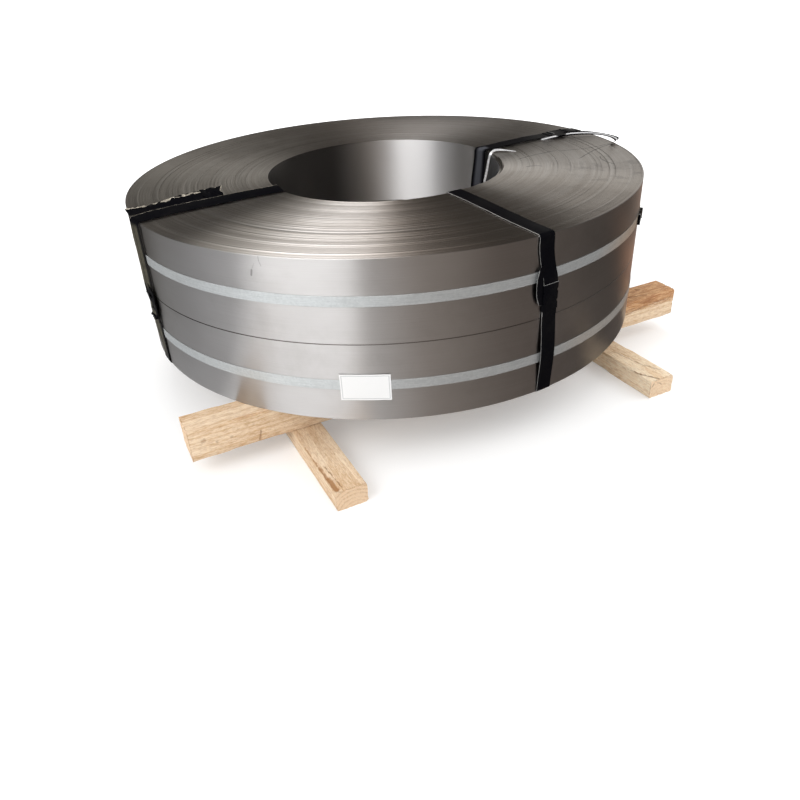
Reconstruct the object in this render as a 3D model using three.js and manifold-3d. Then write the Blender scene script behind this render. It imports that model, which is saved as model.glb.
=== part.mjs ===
// A pack of two slit steel coils, strapped together with the eye upwards and
// standing on crossed timber bearers. Millimetres, +Z up. The origin is on the
// coil axis at floor level, and +X runs along the upper pair of bearers.

import * as THREE from "three";
import { mergeVertices } from "three/addons/utils/BufferGeometryUtils.js";
import Module from "manifold-3d";

// ---- Driving dimensions -------------------------------------------------

// Clearance kept between neighbouring pieces that touch on the real pack.
const FIT_GAP = 0.3;

// Slit coils: each one is the same turned ring of wound strip.
const COIL_OUTER_RADIUS = 550;
const BORE_RADIUS = 254;
const COIL_WIDTH = 152;
const COIL_NAMES = ["coil_lower", "coil_upper"];
const COIL_EDGE_BREAK = 1.2;
const COIL_SEGMENTS = 72;
const BEND_SEGMENTS = 5;

// Wound turns do not finish level: groups of them stand proud or sit low.
const TURN_GROUPS = 8;
const TURN_STEP_LEAST = 0.28;
const TURN_STEP_MOST = 0.8;
const TURN_RHYTHM = 2.3;

// Girth straps: one galvanised band round the waist of each coil.
const GIRTH_STRAP_WIDTH = 19;
const GIRTH_STRAP_GAUGE = 0.8;
const GIRTH_STRAP_OFFSETS = [-3, 3];
const GIRTH_SEAL_LENGTH = 34;
const GIRTH_SEAL_FLATS = [30, 8];

// Eye straps: black painted bands through the bore and round both coils.
const EYE_STRAP_WIDTH = 32;
const EYE_STRAP_GAUGE = 0.9;
const STRAP_LAP = 70;
const STRAP_JOGGLE = 22;
const SEAL_LENGTH = 50;
const SEAL_FLANGE = 9;
const SEAL_NOTCH_SIDE = 5;
const SEAL_NOTCH_DEPTH = 2.3;
// Share of a seal's length from its middle to each notch.
const SEAL_NOTCH_PLACE = 0.2;
const SEAL_WALL = GIRTH_STRAP_GAUGE;

// Azimuth in degrees at which each eye strap crosses the pack.
const STRAP_AZIMUTHS = { left: -175, front: -85.2, rear: 2 };

// Where the ends of each eye strap are joined: the left one below the seam
// between the coils, the front one below the middle of the upper girth strap,
// and the rear one on the top face, in from the outer edge.
const LEFT_JOINT_BELOW_SEAM = 24;
const FRONT_JOINT_BELOW_GIRTH = 41;
const REAR_JOINT_FROM_EDGE = 63;

// Loose strap ends that show on the top face.
const LEFT_CLIP_FROM_EDGE = 172;
const LEFT_CLIP_TILT = 22;
const LEFT_TAIL_RIM_TILT = 8;
const LEFT_TAIL_OVERHANG = 5;
const LEFT_TAIL_SEGMENTS = 12;
const BARE_TAIL_WIDTH = 12;
const BARE_TAIL_GAUGE = 0.6;
const BARE_TAIL_RUN = 135;
const BARE_TAIL_OVERHANG = 20;
const BARE_TAIL_HOOK = 95;
const BARE_TAIL_LIFT = 6;
const BARE_TAIL_ASIDE = 2;
const BARE_TAIL_SEGMENTS = 20;

// Paper label stuck over the lower girth strap.
const LABEL_WIDTH = 90;
const LABEL_HEIGHT = 52;
const LABEL_GAUGE = 0.4;
const LABEL_AZIMUTH = -120.6;
const LABEL_DROP = 4;
const LABEL_SEGMENTS = 6;

// Crossed timber bearers: the upper pair carries the coils along X, and the
// lower pair carries the upper pair along Y.
const UPPER_BEARER = { width: 65, height: 65, spread: 313 };
const UPPER_BEARER_LENGTHS = { front: 1160, rear: 980 };
const LOWER_BEARER = { length: 1120, width: 60, height: 40 };
const LOWER_BEARER_OFFSETS = { left: -357, right: 347 };
const TIMBER_ARRIS = 2;

// ---- Values worked out from the driving dimensions ------------------------

const coilBase = LOWER_BEARER.height + UPPER_BEARER.height;
const coilPitch = COIL_WIDTH + FIT_GAP;
const packTop = coilBase + coilPitch * (COIL_NAMES.length - 1) + COIL_WIDTH;
const girthInner = COIL_OUTER_RADIUS + FIT_GAP;
const girthOuter = girthInner + GIRTH_STRAP_GAUGE;
const facetAngle = (2 * Math.PI) / COIL_SEGMENTS;
// The eye straps ride over the girth straps, and over the flanges of the seals.
const strapStandoff = FIT_GAP + GIRTH_STRAP_GAUGE + FIT_GAP;
const lapShift = EYE_STRAP_GAUGE + FIT_GAP;

// ---- Materials ------------------------------------------------------------

const steel = new THREE.MeshStandardMaterial({ color: 0x8d8a88, roughness: 0.35, metalness: 1 });
const galvanised = new THREE.MeshStandardMaterial({ color: 0xb4bcbf, roughness: 0.4, metalness: 1 });
const blackPaint = new THREE.MeshStandardMaterial({ color: 0x111214, roughness: 0.45, metalness: 0 });
const bareStrap = new THREE.MeshStandardMaterial({ color: 0xd9dadb, roughness: 0.25, metalness: 1 });
const paper = new THREE.MeshStandardMaterial({ color: 0xf2f2f0, roughness: 0.7, metalness: 0 });
const pine = new THREE.MeshStandardMaterial({ color: 0xd9b88a, roughness: 0.8, metalness: 0 });

const pack = new THREE.Group();

/** Name a mesh, give it its material and hang it on a group. */
function addPiece(parent, name, geometry, material) {
  const mesh = new THREE.Mesh(geometry, material);
  mesh.name = name;
  parent.add(mesh);
  return mesh;
}

/** A group turned about the coil axis, so that its +X points along an azimuth in degrees. */
function azimuthGroup(azimuth) {
  const group = new THREE.Group();
  group.rotation.z = THREE.MathUtils.degToRad(azimuth);
  pack.add(group);
  return group;
}

// ---- Boolean helpers --------------------------------------------------------

const WELD_DISTANCE = 1e-4;
const wasm = await Module();
wasm.setup();

/** Turn a closed geometry into a solid that can be cut. */
function toSolid(geometry) {
  const bare = geometry.clone();
  bare.deleteAttribute("normal");
  bare.deleteAttribute("uv");
  const welded = mergeVertices(bare, WELD_DISTANCE);
  return new wasm.Manifold(new wasm.Mesh({
    numProp: 3,
    vertProperties: new Float32Array(welded.attributes.position.array),
    triVerts: new Uint32Array(welded.index.array),
  }));
}

/** Turn a cut solid back into a geometry. */
function toGeometry(solid) {
  const mesh = solid.getMesh();
  const geometry = new THREE.BufferGeometry();
  geometry.setAttribute("position", new THREE.BufferAttribute(mesh.vertProperties, 3));
  geometry.setIndex(new THREE.BufferAttribute(mesh.triVerts, 1));
  geometry.computeVertexNormals();
  return geometry;
}

// ---- Coils ------------------------------------------------------------------

/** How far each group of turns sits below the end face; the outermost and innermost are level. */
function turnDepth(group) {
  const last = TURN_GROUPS - 1;
  if (group === 0 || group === last) return 0;
  const uneven = Math.abs(Math.sin(TURN_RHYTHM * group));
  return TURN_STEP_LEAST + (TURN_STEP_MOST - TURN_STEP_LEAST) * uneven;
}

/** One end face as [radius, depth] pairs, stepping inwards from the outer edge to the bore. */
function endFaceSteps() {
  const facing = COIL_OUTER_RADIUS - BORE_RADIUS - 2 * COIL_EDGE_BREAK;
  const groupWidth = facing / TURN_GROUPS;
  const steps = [];
  for (let group = 0; group < TURN_GROUPS; group += 1) {
    const outer = COIL_OUTER_RADIUS - COIL_EDGE_BREAK - group * groupWidth;
    steps.push([outer, turnDepth(group)]);
    steps.push([outer - groupWidth, turnDepth(group)]);
  }
  return steps;
}

/** Closed half section of one slit coil, for turning about its axis. */
function coilProfile() {
  const steps = endFaceSteps();
  const top = steps.map(([radius, depth]) => new THREE.Vector2(radius, COIL_WIDTH - depth));
  const bottom = steps.map(([radius, depth]) => new THREE.Vector2(radius, depth)).reverse();
  const profile = [
    new THREE.Vector2(COIL_OUTER_RADIUS, COIL_EDGE_BREAK),
    new THREE.Vector2(COIL_OUTER_RADIUS, COIL_WIDTH - COIL_EDGE_BREAK),
    ...top,
    new THREE.Vector2(BORE_RADIUS, COIL_WIDTH - COIL_EDGE_BREAK),
    new THREE.Vector2(BORE_RADIUS, COIL_EDGE_BREAK),
    ...bottom,
  ];
  profile.push(profile[0].clone());
  return profile;
}

/** Turn a closed half section about +Z. */
function turned(profile) {
  return new THREE.LatheGeometry(profile, COIL_SEGMENTS).rotateX(Math.PI / 2);
}

function addCoils() {
  COIL_NAMES.forEach((name, level) => {
    const coil = addPiece(pack, name, turned(coilProfile()), steel);
    coil.position.z = coilBase + level * coilPitch;
  });
}

// ---- Seals --------------------------------------------------------------------

/** Section of a strap seal: a plate over the band, a leg down each edge, and lips turned under. */
function sealSection(bandWidth, bandStack, flange) {
  const half = bandWidth / 2 + FIT_GAP + SEAL_WALL;
  const floor = flange > 0 ? SEAL_WALL : 0;
  const roof = floor + FIT_GAP + bandStack + FIT_GAP;
  const inside = half - SEAL_WALL;
  const side = [
    [half, roof + SEAL_WALL],
    [half, 0],
    [inside - flange, 0],
  ];
  if (flange > 0) side.push([inside - flange, floor], [inside, floor]);
  side.push([inside, roof]);
  const mirrored = side.map(([across, out]) => [-across, out]).reverse();
  return new THREE.Shape([...side, ...mirrored].map(([across, out]) => new THREE.Vector2(across, out)));
}

/** A seal with crimp notches bitten into both edges. Length along Z, outward along +Y. */
function sealGeometry(bandWidth, bandStack, flange, length) {
  const section = sealSection(bandWidth, bandStack, flange);
  const plate = new THREE.ExtrudeGeometry(section, { depth: length, bevelEnabled: false });
  plate.translate(0, 0, -length / 2);
  let seal = toSolid(plate);
  const edge = bandWidth / 2 + FIT_GAP + SEAL_WALL;
  const middle = edge + SEAL_NOTCH_SIDE / Math.SQRT2 - SEAL_NOTCH_DEPTH;
  const reach = 4 * (bandStack + SEAL_WALL + SEAL_WALL);
  for (const side of [-1, 1]) {
    for (const along of [-1, 1]) {
      const bite = new THREE.BoxGeometry(SEAL_NOTCH_SIDE, reach, SEAL_NOTCH_SIDE);
      bite.rotateY(Math.PI / 4);
      bite.translate(side * middle, 0, along * length * SEAL_NOTCH_PLACE);
      seal = seal.subtract(toSolid(bite));
    }
  }
  return toGeometry(seal);
}

/** Seat a seal on the outside wall of the coils, running up the wall. */
function addWallSeal(parent, name, height) {
  const geometry = sealGeometry(EYE_STRAP_WIDTH, EYE_STRAP_GAUGE + lapShift, SEAL_FLANGE, SEAL_LENGTH);
  geometry.rotateZ(-Math.PI / 2);
  const seal = addPiece(parent, name, geometry, blackPaint);
  seal.position.set(COIL_OUTER_RADIUS + FIT_GAP, 0, height);
}

/** Seal of an eye strap, lying flat with its length along X and its outside upwards. */
function flatSeal(bandStack) {
  const seal = sealGeometry(EYE_STRAP_WIDTH, bandStack, SEAL_FLANGE, SEAL_LENGTH);
  return seal.rotateX(Math.PI / 2).rotateZ(Math.PI / 2);
}

/** Seat a seal on the top face of the pack, over the lap of an eye strap. */
function addTopSeal(parent, name, radius) {
  const geometry = flatSeal(EYE_STRAP_GAUGE + lapShift);
  const seal = addPiece(parent, name, geometry, blackPaint);
  seal.position.set(radius, 0, packTop + FIT_GAP);
}

// ---- Girth straps ---------------------------------------------------------------

function girthHeight(level) {
  return coilBase + level * coilPitch + COIL_WIDTH / 2 + GIRTH_STRAP_OFFSETS[level];
}

/** Closed half section of a girth strap about its own mid height. */
function girthProfile() {
  const half = GIRTH_STRAP_WIDTH / 2;
  return [
    new THREE.Vector2(girthOuter, -half),
    new THREE.Vector2(girthOuter, half),
    new THREE.Vector2(girthInner, half),
    new THREE.Vector2(girthInner, -half),
    new THREE.Vector2(girthOuter, -half),
  ];
}

/** The seal of a girth strap sits on one flat of the faceted ring, astride the band. */
function addGirthSeal(level) {
  const flat = (GIRTH_SEAL_FLATS[level] + 0.5) * facetAngle - Math.PI / 2;
  const group = azimuthGroup(THREE.MathUtils.radToDeg(flat));
  const geometry = sealGeometry(GIRTH_STRAP_WIDTH, GIRTH_STRAP_GAUGE, 0, GIRTH_SEAL_LENGTH);
  geometry.rotateZ(-Math.PI / 2).rotateX(Math.PI / 2);
  const seal = addPiece(group, `girth_seal_${level === 0 ? "lower" : "upper"}`, geometry, blackPaint);
  seal.position.set(girthInner * Math.cos(facetAngle / 2), 0, girthHeight(level));
}

function addGirthStraps() {
  COIL_NAMES.forEach((coil, level) => {
    const name = coil.replace("coil", "girth_strap");
    const strap = addPiece(pack, name, turned(girthProfile()), galvanised);
    strap.position.z = girthHeight(level);
    addGirthSeal(level);
  });
}

// ---- Eye straps -----------------------------------------------------------------

/** Bend radius that lets the band lie against a broken coil edge while it stands off both faces. */
function seatedBendRadius() {
  const toEdge = Math.SQRT2 * strapStandoff + COIL_EDGE_BREAK / Math.SQRT2 - FIT_GAP;
  return toEdge / (Math.SQRT2 - 1) + EYE_STRAP_GAUGE / 2;
}

/** Middle lines of the band on the four sides of the coil section. */
function strapLines() {
  const offset = strapStandoff + EYE_STRAP_GAUGE / 2;
  const boreFlat = BORE_RADIUS * Math.cos(facetAngle / 2) - strapStandoff;
  return {
    outer: COIL_OUTER_RADIUS + offset,
    inner: Math.sqrt(boreFlat ** 2 - (EYE_STRAP_WIDTH / 2) ** 2) - EYE_STRAP_GAUGE / 2,
    top: packTop + offset,
    bottom: coilBase - offset,
  };
}

/** Points of a quarter bend that rounds one corner of a path. */
function bendPoints(before, corner, after, radius) {
  const inward = new THREE.Vector2().subVectors(before, corner).normalize();
  const onward = new THREE.Vector2().subVectors(after, corner).normalize();
  const centre = corner.clone().addScaledVector(inward, radius).addScaledVector(onward, radius);
  const points = [];
  for (let step = 0; step <= BEND_SEGMENTS; step += 1) {
    const turn = (step / BEND_SEGMENTS) * (Math.PI / 2);
    const point = centre.clone();
    point.addScaledVector(onward, -radius * Math.cos(turn));
    point.addScaledVector(inward, -radius * Math.sin(turn));
    points.push(point);
  }
  return points;
}

/** Path of a band that starts and ends in one lap joint, as points in the [radius, height] plane. */
function strapPath(corners, lapStart, lapEnd, outward) {
  const along = new THREE.Vector2().subVectors(lapStart, lapEnd).normalize();
  const shift = outward.clone().multiplyScalar(lapShift);
  const path = [lapEnd.clone().addScaledVector(along, STRAP_LAP)];
  corners.forEach((corner, index) => {
    const before = index === 0 ? path[0] : corners[index - 1];
    const after = index === corners.length - 1 ? lapStart : corners[index + 1];
    path.push(...bendPoints(before, corner, after, seatedBendRadius()));
  });
  path.push(lapStart.clone().addScaledVector(along, STRAP_JOGGLE));
  path.push(lapStart.clone().add(shift));
  path.push(lapEnd.clone().add(shift));
  return path;
}

/** Outline of a band of even gauge along a path. */
function bandOutline(path, gauge) {
  const near = [];
  const far = [];
  path.forEach((point, index) => {
    const before = path[Math.max(index - 1, 0)];
    const after = path[Math.min(index + 1, path.length - 1)];
    const along = new THREE.Vector2().subVectors(after, before).normalize();
    const normal = new THREE.Vector2(-along.y, along.x);
    near.push(point.clone().addScaledVector(normal, gauge / 2));
    far.push(point.clone().addScaledVector(normal, -gauge / 2));
  });
  return new THREE.Shape([...near, ...far.reverse()]);
}

/** A band that is as wide as the strap, standing across the radius. */
function bandGeometry(path, gauge, width) {
  const band = new THREE.ExtrudeGeometry(bandOutline(path, gauge), { depth: width, bevelEnabled: false });
  return band.translate(0, 0, -width / 2).rotateX(Math.PI / 2);
}

/** Strap joined on the outside wall, with the middle of its lap at a given height. */
function wallJointPath(middle) {
  const line = strapLines();
  const corners = [
    new THREE.Vector2(line.outer, line.bottom),
    new THREE.Vector2(line.inner, line.bottom),
    new THREE.Vector2(line.inner, line.top),
    new THREE.Vector2(line.outer, line.top),
  ];
  const lapStart = new THREE.Vector2(line.outer, middle + STRAP_LAP / 2);
  const lapEnd = new THREE.Vector2(line.outer, middle - STRAP_LAP / 2);
  return strapPath(corners, lapStart, lapEnd, new THREE.Vector2(1, 0));
}

/** Strap joined on the top face, with the middle of its lap at a given radius. */
function topJointPath(middle) {
  const line = strapLines();
  const corners = [
    new THREE.Vector2(line.inner, line.top),
    new THREE.Vector2(line.inner, line.bottom),
    new THREE.Vector2(line.outer, line.bottom),
    new THREE.Vector2(line.outer, line.top),
  ];
  const lapStart = new THREE.Vector2(middle + STRAP_LAP / 2, line.top);
  const lapEnd = new THREE.Vector2(middle - STRAP_LAP / 2, line.top);
  return strapPath(corners, lapStart, lapEnd, new THREE.Vector2(0, 1));
}

/** Lay one eye strap along its path in the turned group of its azimuth. */
function addEyeStrap(name, path) {
  const group = azimuthGroup(STRAP_AZIMUTHS[name]);
  addPiece(group, `eye_strap_${name}`, bandGeometry(path, EYE_STRAP_GAUGE, EYE_STRAP_WIDTH), blackPaint);
  return group;
}

function addEyeStraps() {
  const wallJoints = {
    left: coilBase + coilPitch - LEFT_JOINT_BELOW_SEAM,
    front: girthHeight(COIL_NAMES.length - 1) - FRONT_JOINT_BELOW_GIRTH,
  };
  for (const [name, height] of Object.entries(wallJoints)) {
    const group = addEyeStrap(name, wallJointPath(height));
    addWallSeal(group, `eye_seal_${name}`, height);
  }
  const rearJoint = COIL_OUTER_RADIUS - REAR_JOINT_FROM_EDGE;
  const group = addEyeStrap("rear", topJointPath(rearJoint));
  addTopSeal(group, "eye_seal_rear", rearJoint);
}

// ---- Loose strap ends -------------------------------------------------------------

/** Turn each section of a strip about the X axis, by a share of an angle that grows from start to end. */
function twistAlong(strip, start, end, angle) {
  const places = strip.attributes.position;
  const axis = new THREE.Vector3(1, 0, 0);
  const place = new THREE.Vector3();
  for (let index = 0; index < places.count; index += 1) {
    place.fromBufferAttribute(places, index);
    place.applyAxisAngle(axis, angle * THREE.MathUtils.smoothstep(place.x, start, end));
    places.setXYZ(index, place.x, place.y, place.z);
  }
  strip.computeVertexNormals();
  return strip;
}

/** A loose strap end beside the left strap: its seal stands up on edge, and it flattens towards the rim. */
function addLeftTail() {
  const tilt = THREE.MathUtils.degToRad(LEFT_CLIP_TILT);
  const flatten = tilt - THREE.MathUtils.degToRad(LEFT_TAIL_RIM_TILT);
  const clipHeight = EYE_STRAP_GAUGE + 2 * (FIT_GAP + SEAL_WALL);
  const footSide = EYE_STRAP_WIDTH / 2 + FIT_GAP + clipHeight * Math.sin(tilt);
  const leaning = new THREE.Group();
  leaning.position.set(0, -footSide, packTop + FIT_GAP);
  leaning.rotation.x = -tilt;
  azimuthGroup(STRAP_AZIMUTHS.left).add(leaning);

  const middle = EYE_STRAP_WIDTH / 2 + FIT_GAP + SEAL_WALL;
  const clipRadius = COIL_OUTER_RADIUS - LEFT_CLIP_FROM_EDGE;
  const clip = addPiece(leaning, "top_seal_left", flatSeal(EYE_STRAP_GAUGE), blackPaint);
  clip.position.set(clipRadius, -middle, 0);

  const inEnd = clipRadius - SEAL_LENGTH / 2;
  const outEnd = COIL_OUTER_RADIUS + LEFT_TAIL_OVERHANG;
  const length = outEnd - inEnd;
  const tail = new THREE.BoxGeometry(length, EYE_STRAP_WIDTH, EYE_STRAP_GAUGE, LEFT_TAIL_SEGMENTS);
  tail.translate(inEnd + length / 2, -middle, SEAL_WALL + FIT_GAP + EYE_STRAP_GAUGE / 2);
  twistAlong(tail, clipRadius + SEAL_LENGTH / 2, outEnd, flatten);
  addPiece(leaning, "strap_tail_left", tail, blackPaint);
}

/** A bare bright strip lies beside the rear strap, rises out over the edge and hooks round. */
function addBareTail() {
  const group = azimuthGroup(STRAP_AZIMUTHS.rear);
  const reach = BARE_TAIL_RUN + BARE_TAIL_OVERHANG;
  const hook = new THREE.SplineCurve([
    new THREE.Vector2(0, 0),
    new THREE.Vector2(BARE_TAIL_RUN / 2, 0),
    new THREE.Vector2(BARE_TAIL_RUN, -BARE_TAIL_WIDTH / 2),
    new THREE.Vector2(reach, -BARE_TAIL_HOOK / 2),
    new THREE.Vector2(reach - BARE_TAIL_WIDTH / 2, -BARE_TAIL_HOOK),
  ]);
  const outline = bandOutline(hook.getPoints(BARE_TAIL_SEGMENTS), BARE_TAIL_WIDTH);
  const strip = new THREE.ExtrudeGeometry(outline, { depth: BARE_TAIL_GAUGE, bevelEnabled: false });
  const mesh = addPiece(group, "bare_strap_tail", strip, bareStrap);
  const beside = EYE_STRAP_WIDTH / 2 + FIT_GAP + SEAL_WALL + BARE_TAIL_ASIDE + BARE_TAIL_WIDTH / 2;
  mesh.position.set(COIL_OUTER_RADIUS - BARE_TAIL_RUN, -beside, packTop + FIT_GAP);
  mesh.rotation.y = -Math.atan(BARE_TAIL_LIFT / reach);
}

// ---- Label ---------------------------------------------------------------------------

/** A paper sheet that follows the curve of the wall, over the lower girth strap. */
function addLabel() {
  const inner = girthOuter + FIT_GAP;
  const outer = inner + LABEL_GAUGE;
  const half = LABEL_WIDTH / 2 / inner;
  const sheet = new THREE.Shape();
  sheet.absarc(0, 0, outer, -half, half, false);
  sheet.absarc(0, 0, inner, half, -half, true);
  const geometry = new THREE.ExtrudeGeometry(sheet, {
    depth: LABEL_HEIGHT,
    bevelEnabled: false,
    curveSegments: LABEL_SEGMENTS,
  });
  const label = addPiece(azimuthGroup(LABEL_AZIMUTH), "label", geometry, paper);
  label.position.z = girthHeight(0) - LABEL_DROP - LABEL_HEIGHT / 2;
}

// ---- Bearers ---------------------------------------------------------------------------

/** A sawn timber along X with its long edges broken, standing on Z = 0. */
function timberGeometry(length, width, height) {
  const half = width / 2;
  const arris = TIMBER_ARRIS;
  const section = new THREE.Shape([
    new THREE.Vector2(-half + arris, 0),
    new THREE.Vector2(half - arris, 0),
    new THREE.Vector2(half, arris),
    new THREE.Vector2(half, height - arris),
    new THREE.Vector2(half - arris, height),
    new THREE.Vector2(-half + arris, height),
    new THREE.Vector2(-half, height - arris),
    new THREE.Vector2(-half, arris),
  ]);
  const log = new THREE.ExtrudeGeometry(section, { depth: length, bevelEnabled: false });
  return log.translate(0, 0, -length / 2).rotateX(Math.PI / 2).rotateZ(Math.PI / 2);
}

/** Cut the seat that each eye strap presses into the top of a bearer that it crosses. */
function cutStrapSeats(timber, offsetY) {
  const depth = strapStandoff + EYE_STRAP_GAUGE + FIT_GAP;
  let solid = toSolid(timber);
  for (const azimuth of Object.values(STRAP_AZIMUTHS)) {
    const seat = new THREE.BoxGeometry(COIL_OUTER_RADIUS, EYE_STRAP_WIDTH + 2 * FIT_GAP, 2 * depth);
    seat.translate(COIL_OUTER_RADIUS / 2, 0, UPPER_BEARER.height);
    seat.rotateZ(THREE.MathUtils.degToRad(azimuth));
    seat.translate(0, -offsetY, 0);
    solid = solid.subtract(toSolid(seat));
  }
  return toGeometry(solid);
}

function addBearers() {
  const upper = [["front", -UPPER_BEARER.spread], ["rear", UPPER_BEARER.spread]];
  for (const [side, offsetY] of upper) {
    const timber = timberGeometry(UPPER_BEARER_LENGTHS[side], UPPER_BEARER.width, UPPER_BEARER.height);
    const bearer = addPiece(pack, `upper_bearer_${side}`, cutStrapSeats(timber, offsetY), pine);
    bearer.position.set(0, offsetY, LOWER_BEARER.height);
  }
  for (const [side, offsetX] of Object.entries(LOWER_BEARER_OFFSETS)) {
    const timber = timberGeometry(LOWER_BEARER.length, LOWER_BEARER.width, LOWER_BEARER.height);
    const bearer = addPiece(pack, `lower_bearer_${side}`, timber.rotateZ(Math.PI / 2), pine);
    bearer.position.x = offsetX;
  }
}

addCoils();
addGirthStraps();
addEyeStraps();
addLeftTail();
addBareTail();
addLabel();
addBearers();

export default pack;
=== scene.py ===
"""Dress a strapped pack of slit steel coils that stands on crossed timber bearers.

Every piece is modelled at its real size, in metres, around the fixed frame:
the coils with their wound turns, the girth and eye straps with their seals,
the label, and the rough sawn bearers.
"""

import logging
import math
import random
from collections.abc import Callable, Iterator, Sequence
from contextlib import contextmanager
from dataclasses import dataclass, field
from enum import Enum
from itertools import pairwise

import bmesh
import bpy
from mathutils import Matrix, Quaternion, Vector, noise


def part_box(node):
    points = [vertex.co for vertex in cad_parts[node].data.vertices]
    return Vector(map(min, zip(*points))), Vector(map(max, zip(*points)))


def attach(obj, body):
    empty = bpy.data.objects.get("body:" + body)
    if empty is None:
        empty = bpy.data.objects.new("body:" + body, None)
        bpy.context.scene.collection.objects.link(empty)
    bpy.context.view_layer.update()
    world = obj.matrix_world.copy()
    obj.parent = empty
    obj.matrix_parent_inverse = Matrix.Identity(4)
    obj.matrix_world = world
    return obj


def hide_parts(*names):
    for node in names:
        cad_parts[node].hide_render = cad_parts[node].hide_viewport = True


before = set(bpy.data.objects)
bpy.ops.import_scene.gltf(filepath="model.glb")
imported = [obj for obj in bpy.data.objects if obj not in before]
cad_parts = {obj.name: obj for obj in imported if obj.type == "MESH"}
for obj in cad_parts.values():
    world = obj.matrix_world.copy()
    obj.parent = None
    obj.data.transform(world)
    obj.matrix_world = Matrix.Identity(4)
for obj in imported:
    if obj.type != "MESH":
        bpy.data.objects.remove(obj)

log = logging.getLogger("coil_pack")

BODY = "root"
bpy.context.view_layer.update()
MM = 0.001
FIT_GAP = 0.3 * MM
CRUMPLE_SEED = 9
WELD = 1e-6
MIX_FIRST, MIX_SECOND, MIX_RESULT = 6, 7, 2
SEAM_HEIGHT = 257.15 * MM
STAGE_WIDTH = 160.0
HALL_RADIUS = 4.8
LAMP_AIM = 0.25

Piece = bpy.types.Object
Material = bpy.types.Material
Node = bpy.types.Node
Socket = bpy.types.NodeSocket
Triple = tuple[float, float, float]
Levels = tuple[tuple[float, Triple], ...]


# --- Modelling bench: edit-mode helpers ---


class Pick(Enum):
    """What edit mode selects."""

    VERTS = "VERT"
    EDGES = "EDGE"
    FACES = "FACE"


def start_fresh() -> None:
    """Leave edit mode and deselect every object, so that an operator acts on one piece only."""
    if bpy.context.object and bpy.context.object.mode != "OBJECT":
        bpy.ops.object.mode_set(mode="OBJECT")
    bpy.ops.object.select_all(action="DESELECT")


@contextmanager
def held(piece: Piece) -> Iterator[None]:
    """Make one piece the active object, and the only one selected."""
    start_fresh()
    bpy.context.view_layer.objects.active = piece
    piece.select_set(True)
    yield
    piece.select_set(False)


@contextmanager
def editing(piece: Piece, pick: Pick = Pick.VERTS) -> Iterator[bmesh.types.BMesh]:
    """Open one piece in edit mode and close it again.

    Args:
        piece: the mesh object to shape.
        pick: what the operators select.
    """
    with held(piece):
        bpy.ops.object.mode_set(mode="EDIT")
        bpy.ops.mesh.select_mode(type=pick.value)
        yield bmesh.from_edit_mesh(piece.data)
        bpy.ops.object.mode_set(mode="OBJECT")


@contextmanager
def whole(piece: Piece, pick: Pick = Pick.VERTS) -> Iterator[bmesh.types.BMesh]:
    """Open one piece in edit mode with all of it selected."""
    with editing(piece, pick) as shape:
        bpy.ops.mesh.select_all(action="SELECT")
        yield shape


def choose(piece: Piece, pick: Pick, test: Callable[[object], bool]) -> None:
    """Select the vertices, edges or faces that pass a test, while in edit mode.

    Args:
        piece: the mesh object that is open in edit mode.
        pick: which kind of element is tested.
        test: says whether one element is taken.
    """
    bpy.ops.mesh.select_mode(type=pick.value)
    bpy.ops.mesh.select_all(action="DESELECT")
    shape = bmesh.from_edit_mesh(piece.data)
    for element in {Pick.VERTS: shape.verts, Pick.EDGES: shape.edges, Pick.FACES: shape.faces}[pick]:
        if test(element):
            element.select_set(True)
    bmesh.update_edit_mesh(piece.data)


def single_point(name: str, place: Vector) -> Piece:
    """A piece that is one vertex so far, ready to be extruded into a line."""
    start_fresh()
    bpy.ops.mesh.primitive_plane_add(size=0.01, location=(0, 0, 0))
    piece = bpy.context.active_object
    piece.name = name
    piece.data.name = name
    with whole(piece):
        bpy.ops.mesh.merge(type="CENTER")
        bpy.ops.transform.translate(value=place)
    return piece


def drawn_line(name: str, points: Sequence[Vector], closed: bool = False) -> Piece:
    """Draw a chain of edges by extruding one vertex from point to point.

    Args:
        name: the new piece's name.
        points: where the chain goes, in order.
        closed: whether it comes back to its first point.

    Returns:
        The piece, with the chain as its only edges.
    """
    route = [Vector(point) for point in points]
    if closed:
        route.append(route[0].copy())
    piece = single_point(name, route[0])
    with whole(piece):
        for before, after in pairwise(route):
            bpy.ops.mesh.extrude_region_move(TRANSFORM_OT_translate={"value": after - before})
        bpy.ops.mesh.select_all(action="SELECT")
        bpy.ops.mesh.remove_doubles(threshold=WELD)
    return piece


def outward(piece: Piece) -> None:
    """Merge doubles and make every face point out."""
    with whole(piece):
        bpy.ops.mesh.remove_doubles(threshold=WELD)
        bpy.ops.mesh.normals_make_consistent(inside=False)


def turn_about_axis(piece: Piece, steps: int) -> None:
    """Spin a closed section once round the Z axis into a solid ring."""
    with whole(piece):
        bpy.ops.mesh.spin(steps=steps, angle=math.tau, center=(0, 0, 0), axis=(0, 0, 1))
    outward(piece)


def sweep(piece: Piece, shifts: Sequence[Vector]) -> None:
    """Extrude everything in a piece along a list of shifts, leaving open walls."""
    with whole(piece):
        for shift in shifts:
            bpy.ops.mesh.extrude_region_move(TRANSFORM_OT_translate={"value": shift})


def apply_all(piece: Piece) -> None:
    """Apply every modifier of a piece, in order."""
    with held(piece):
        for modifier in list(piece.modifiers):
            bpy.ops.object.modifier_apply(modifier=modifier.name)


def thicken(piece: Piece, gauge: float, even: bool = True) -> None:
    """Give an open sheet its gauge, half of it on each side.

    Args:
        piece: the sheet.
        gauge: its thickness.
        even: keep the gauge at sharp bends; off for a crumpled sheet, whose tight folds would spike.
    """
    wall = piece.modifiers.new("gauge", "SOLIDIFY")
    wall.thickness = gauge
    wall.offset = 0.0
    wall.use_even_offset = even
    apply_all(piece)
    outward(piece)


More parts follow.
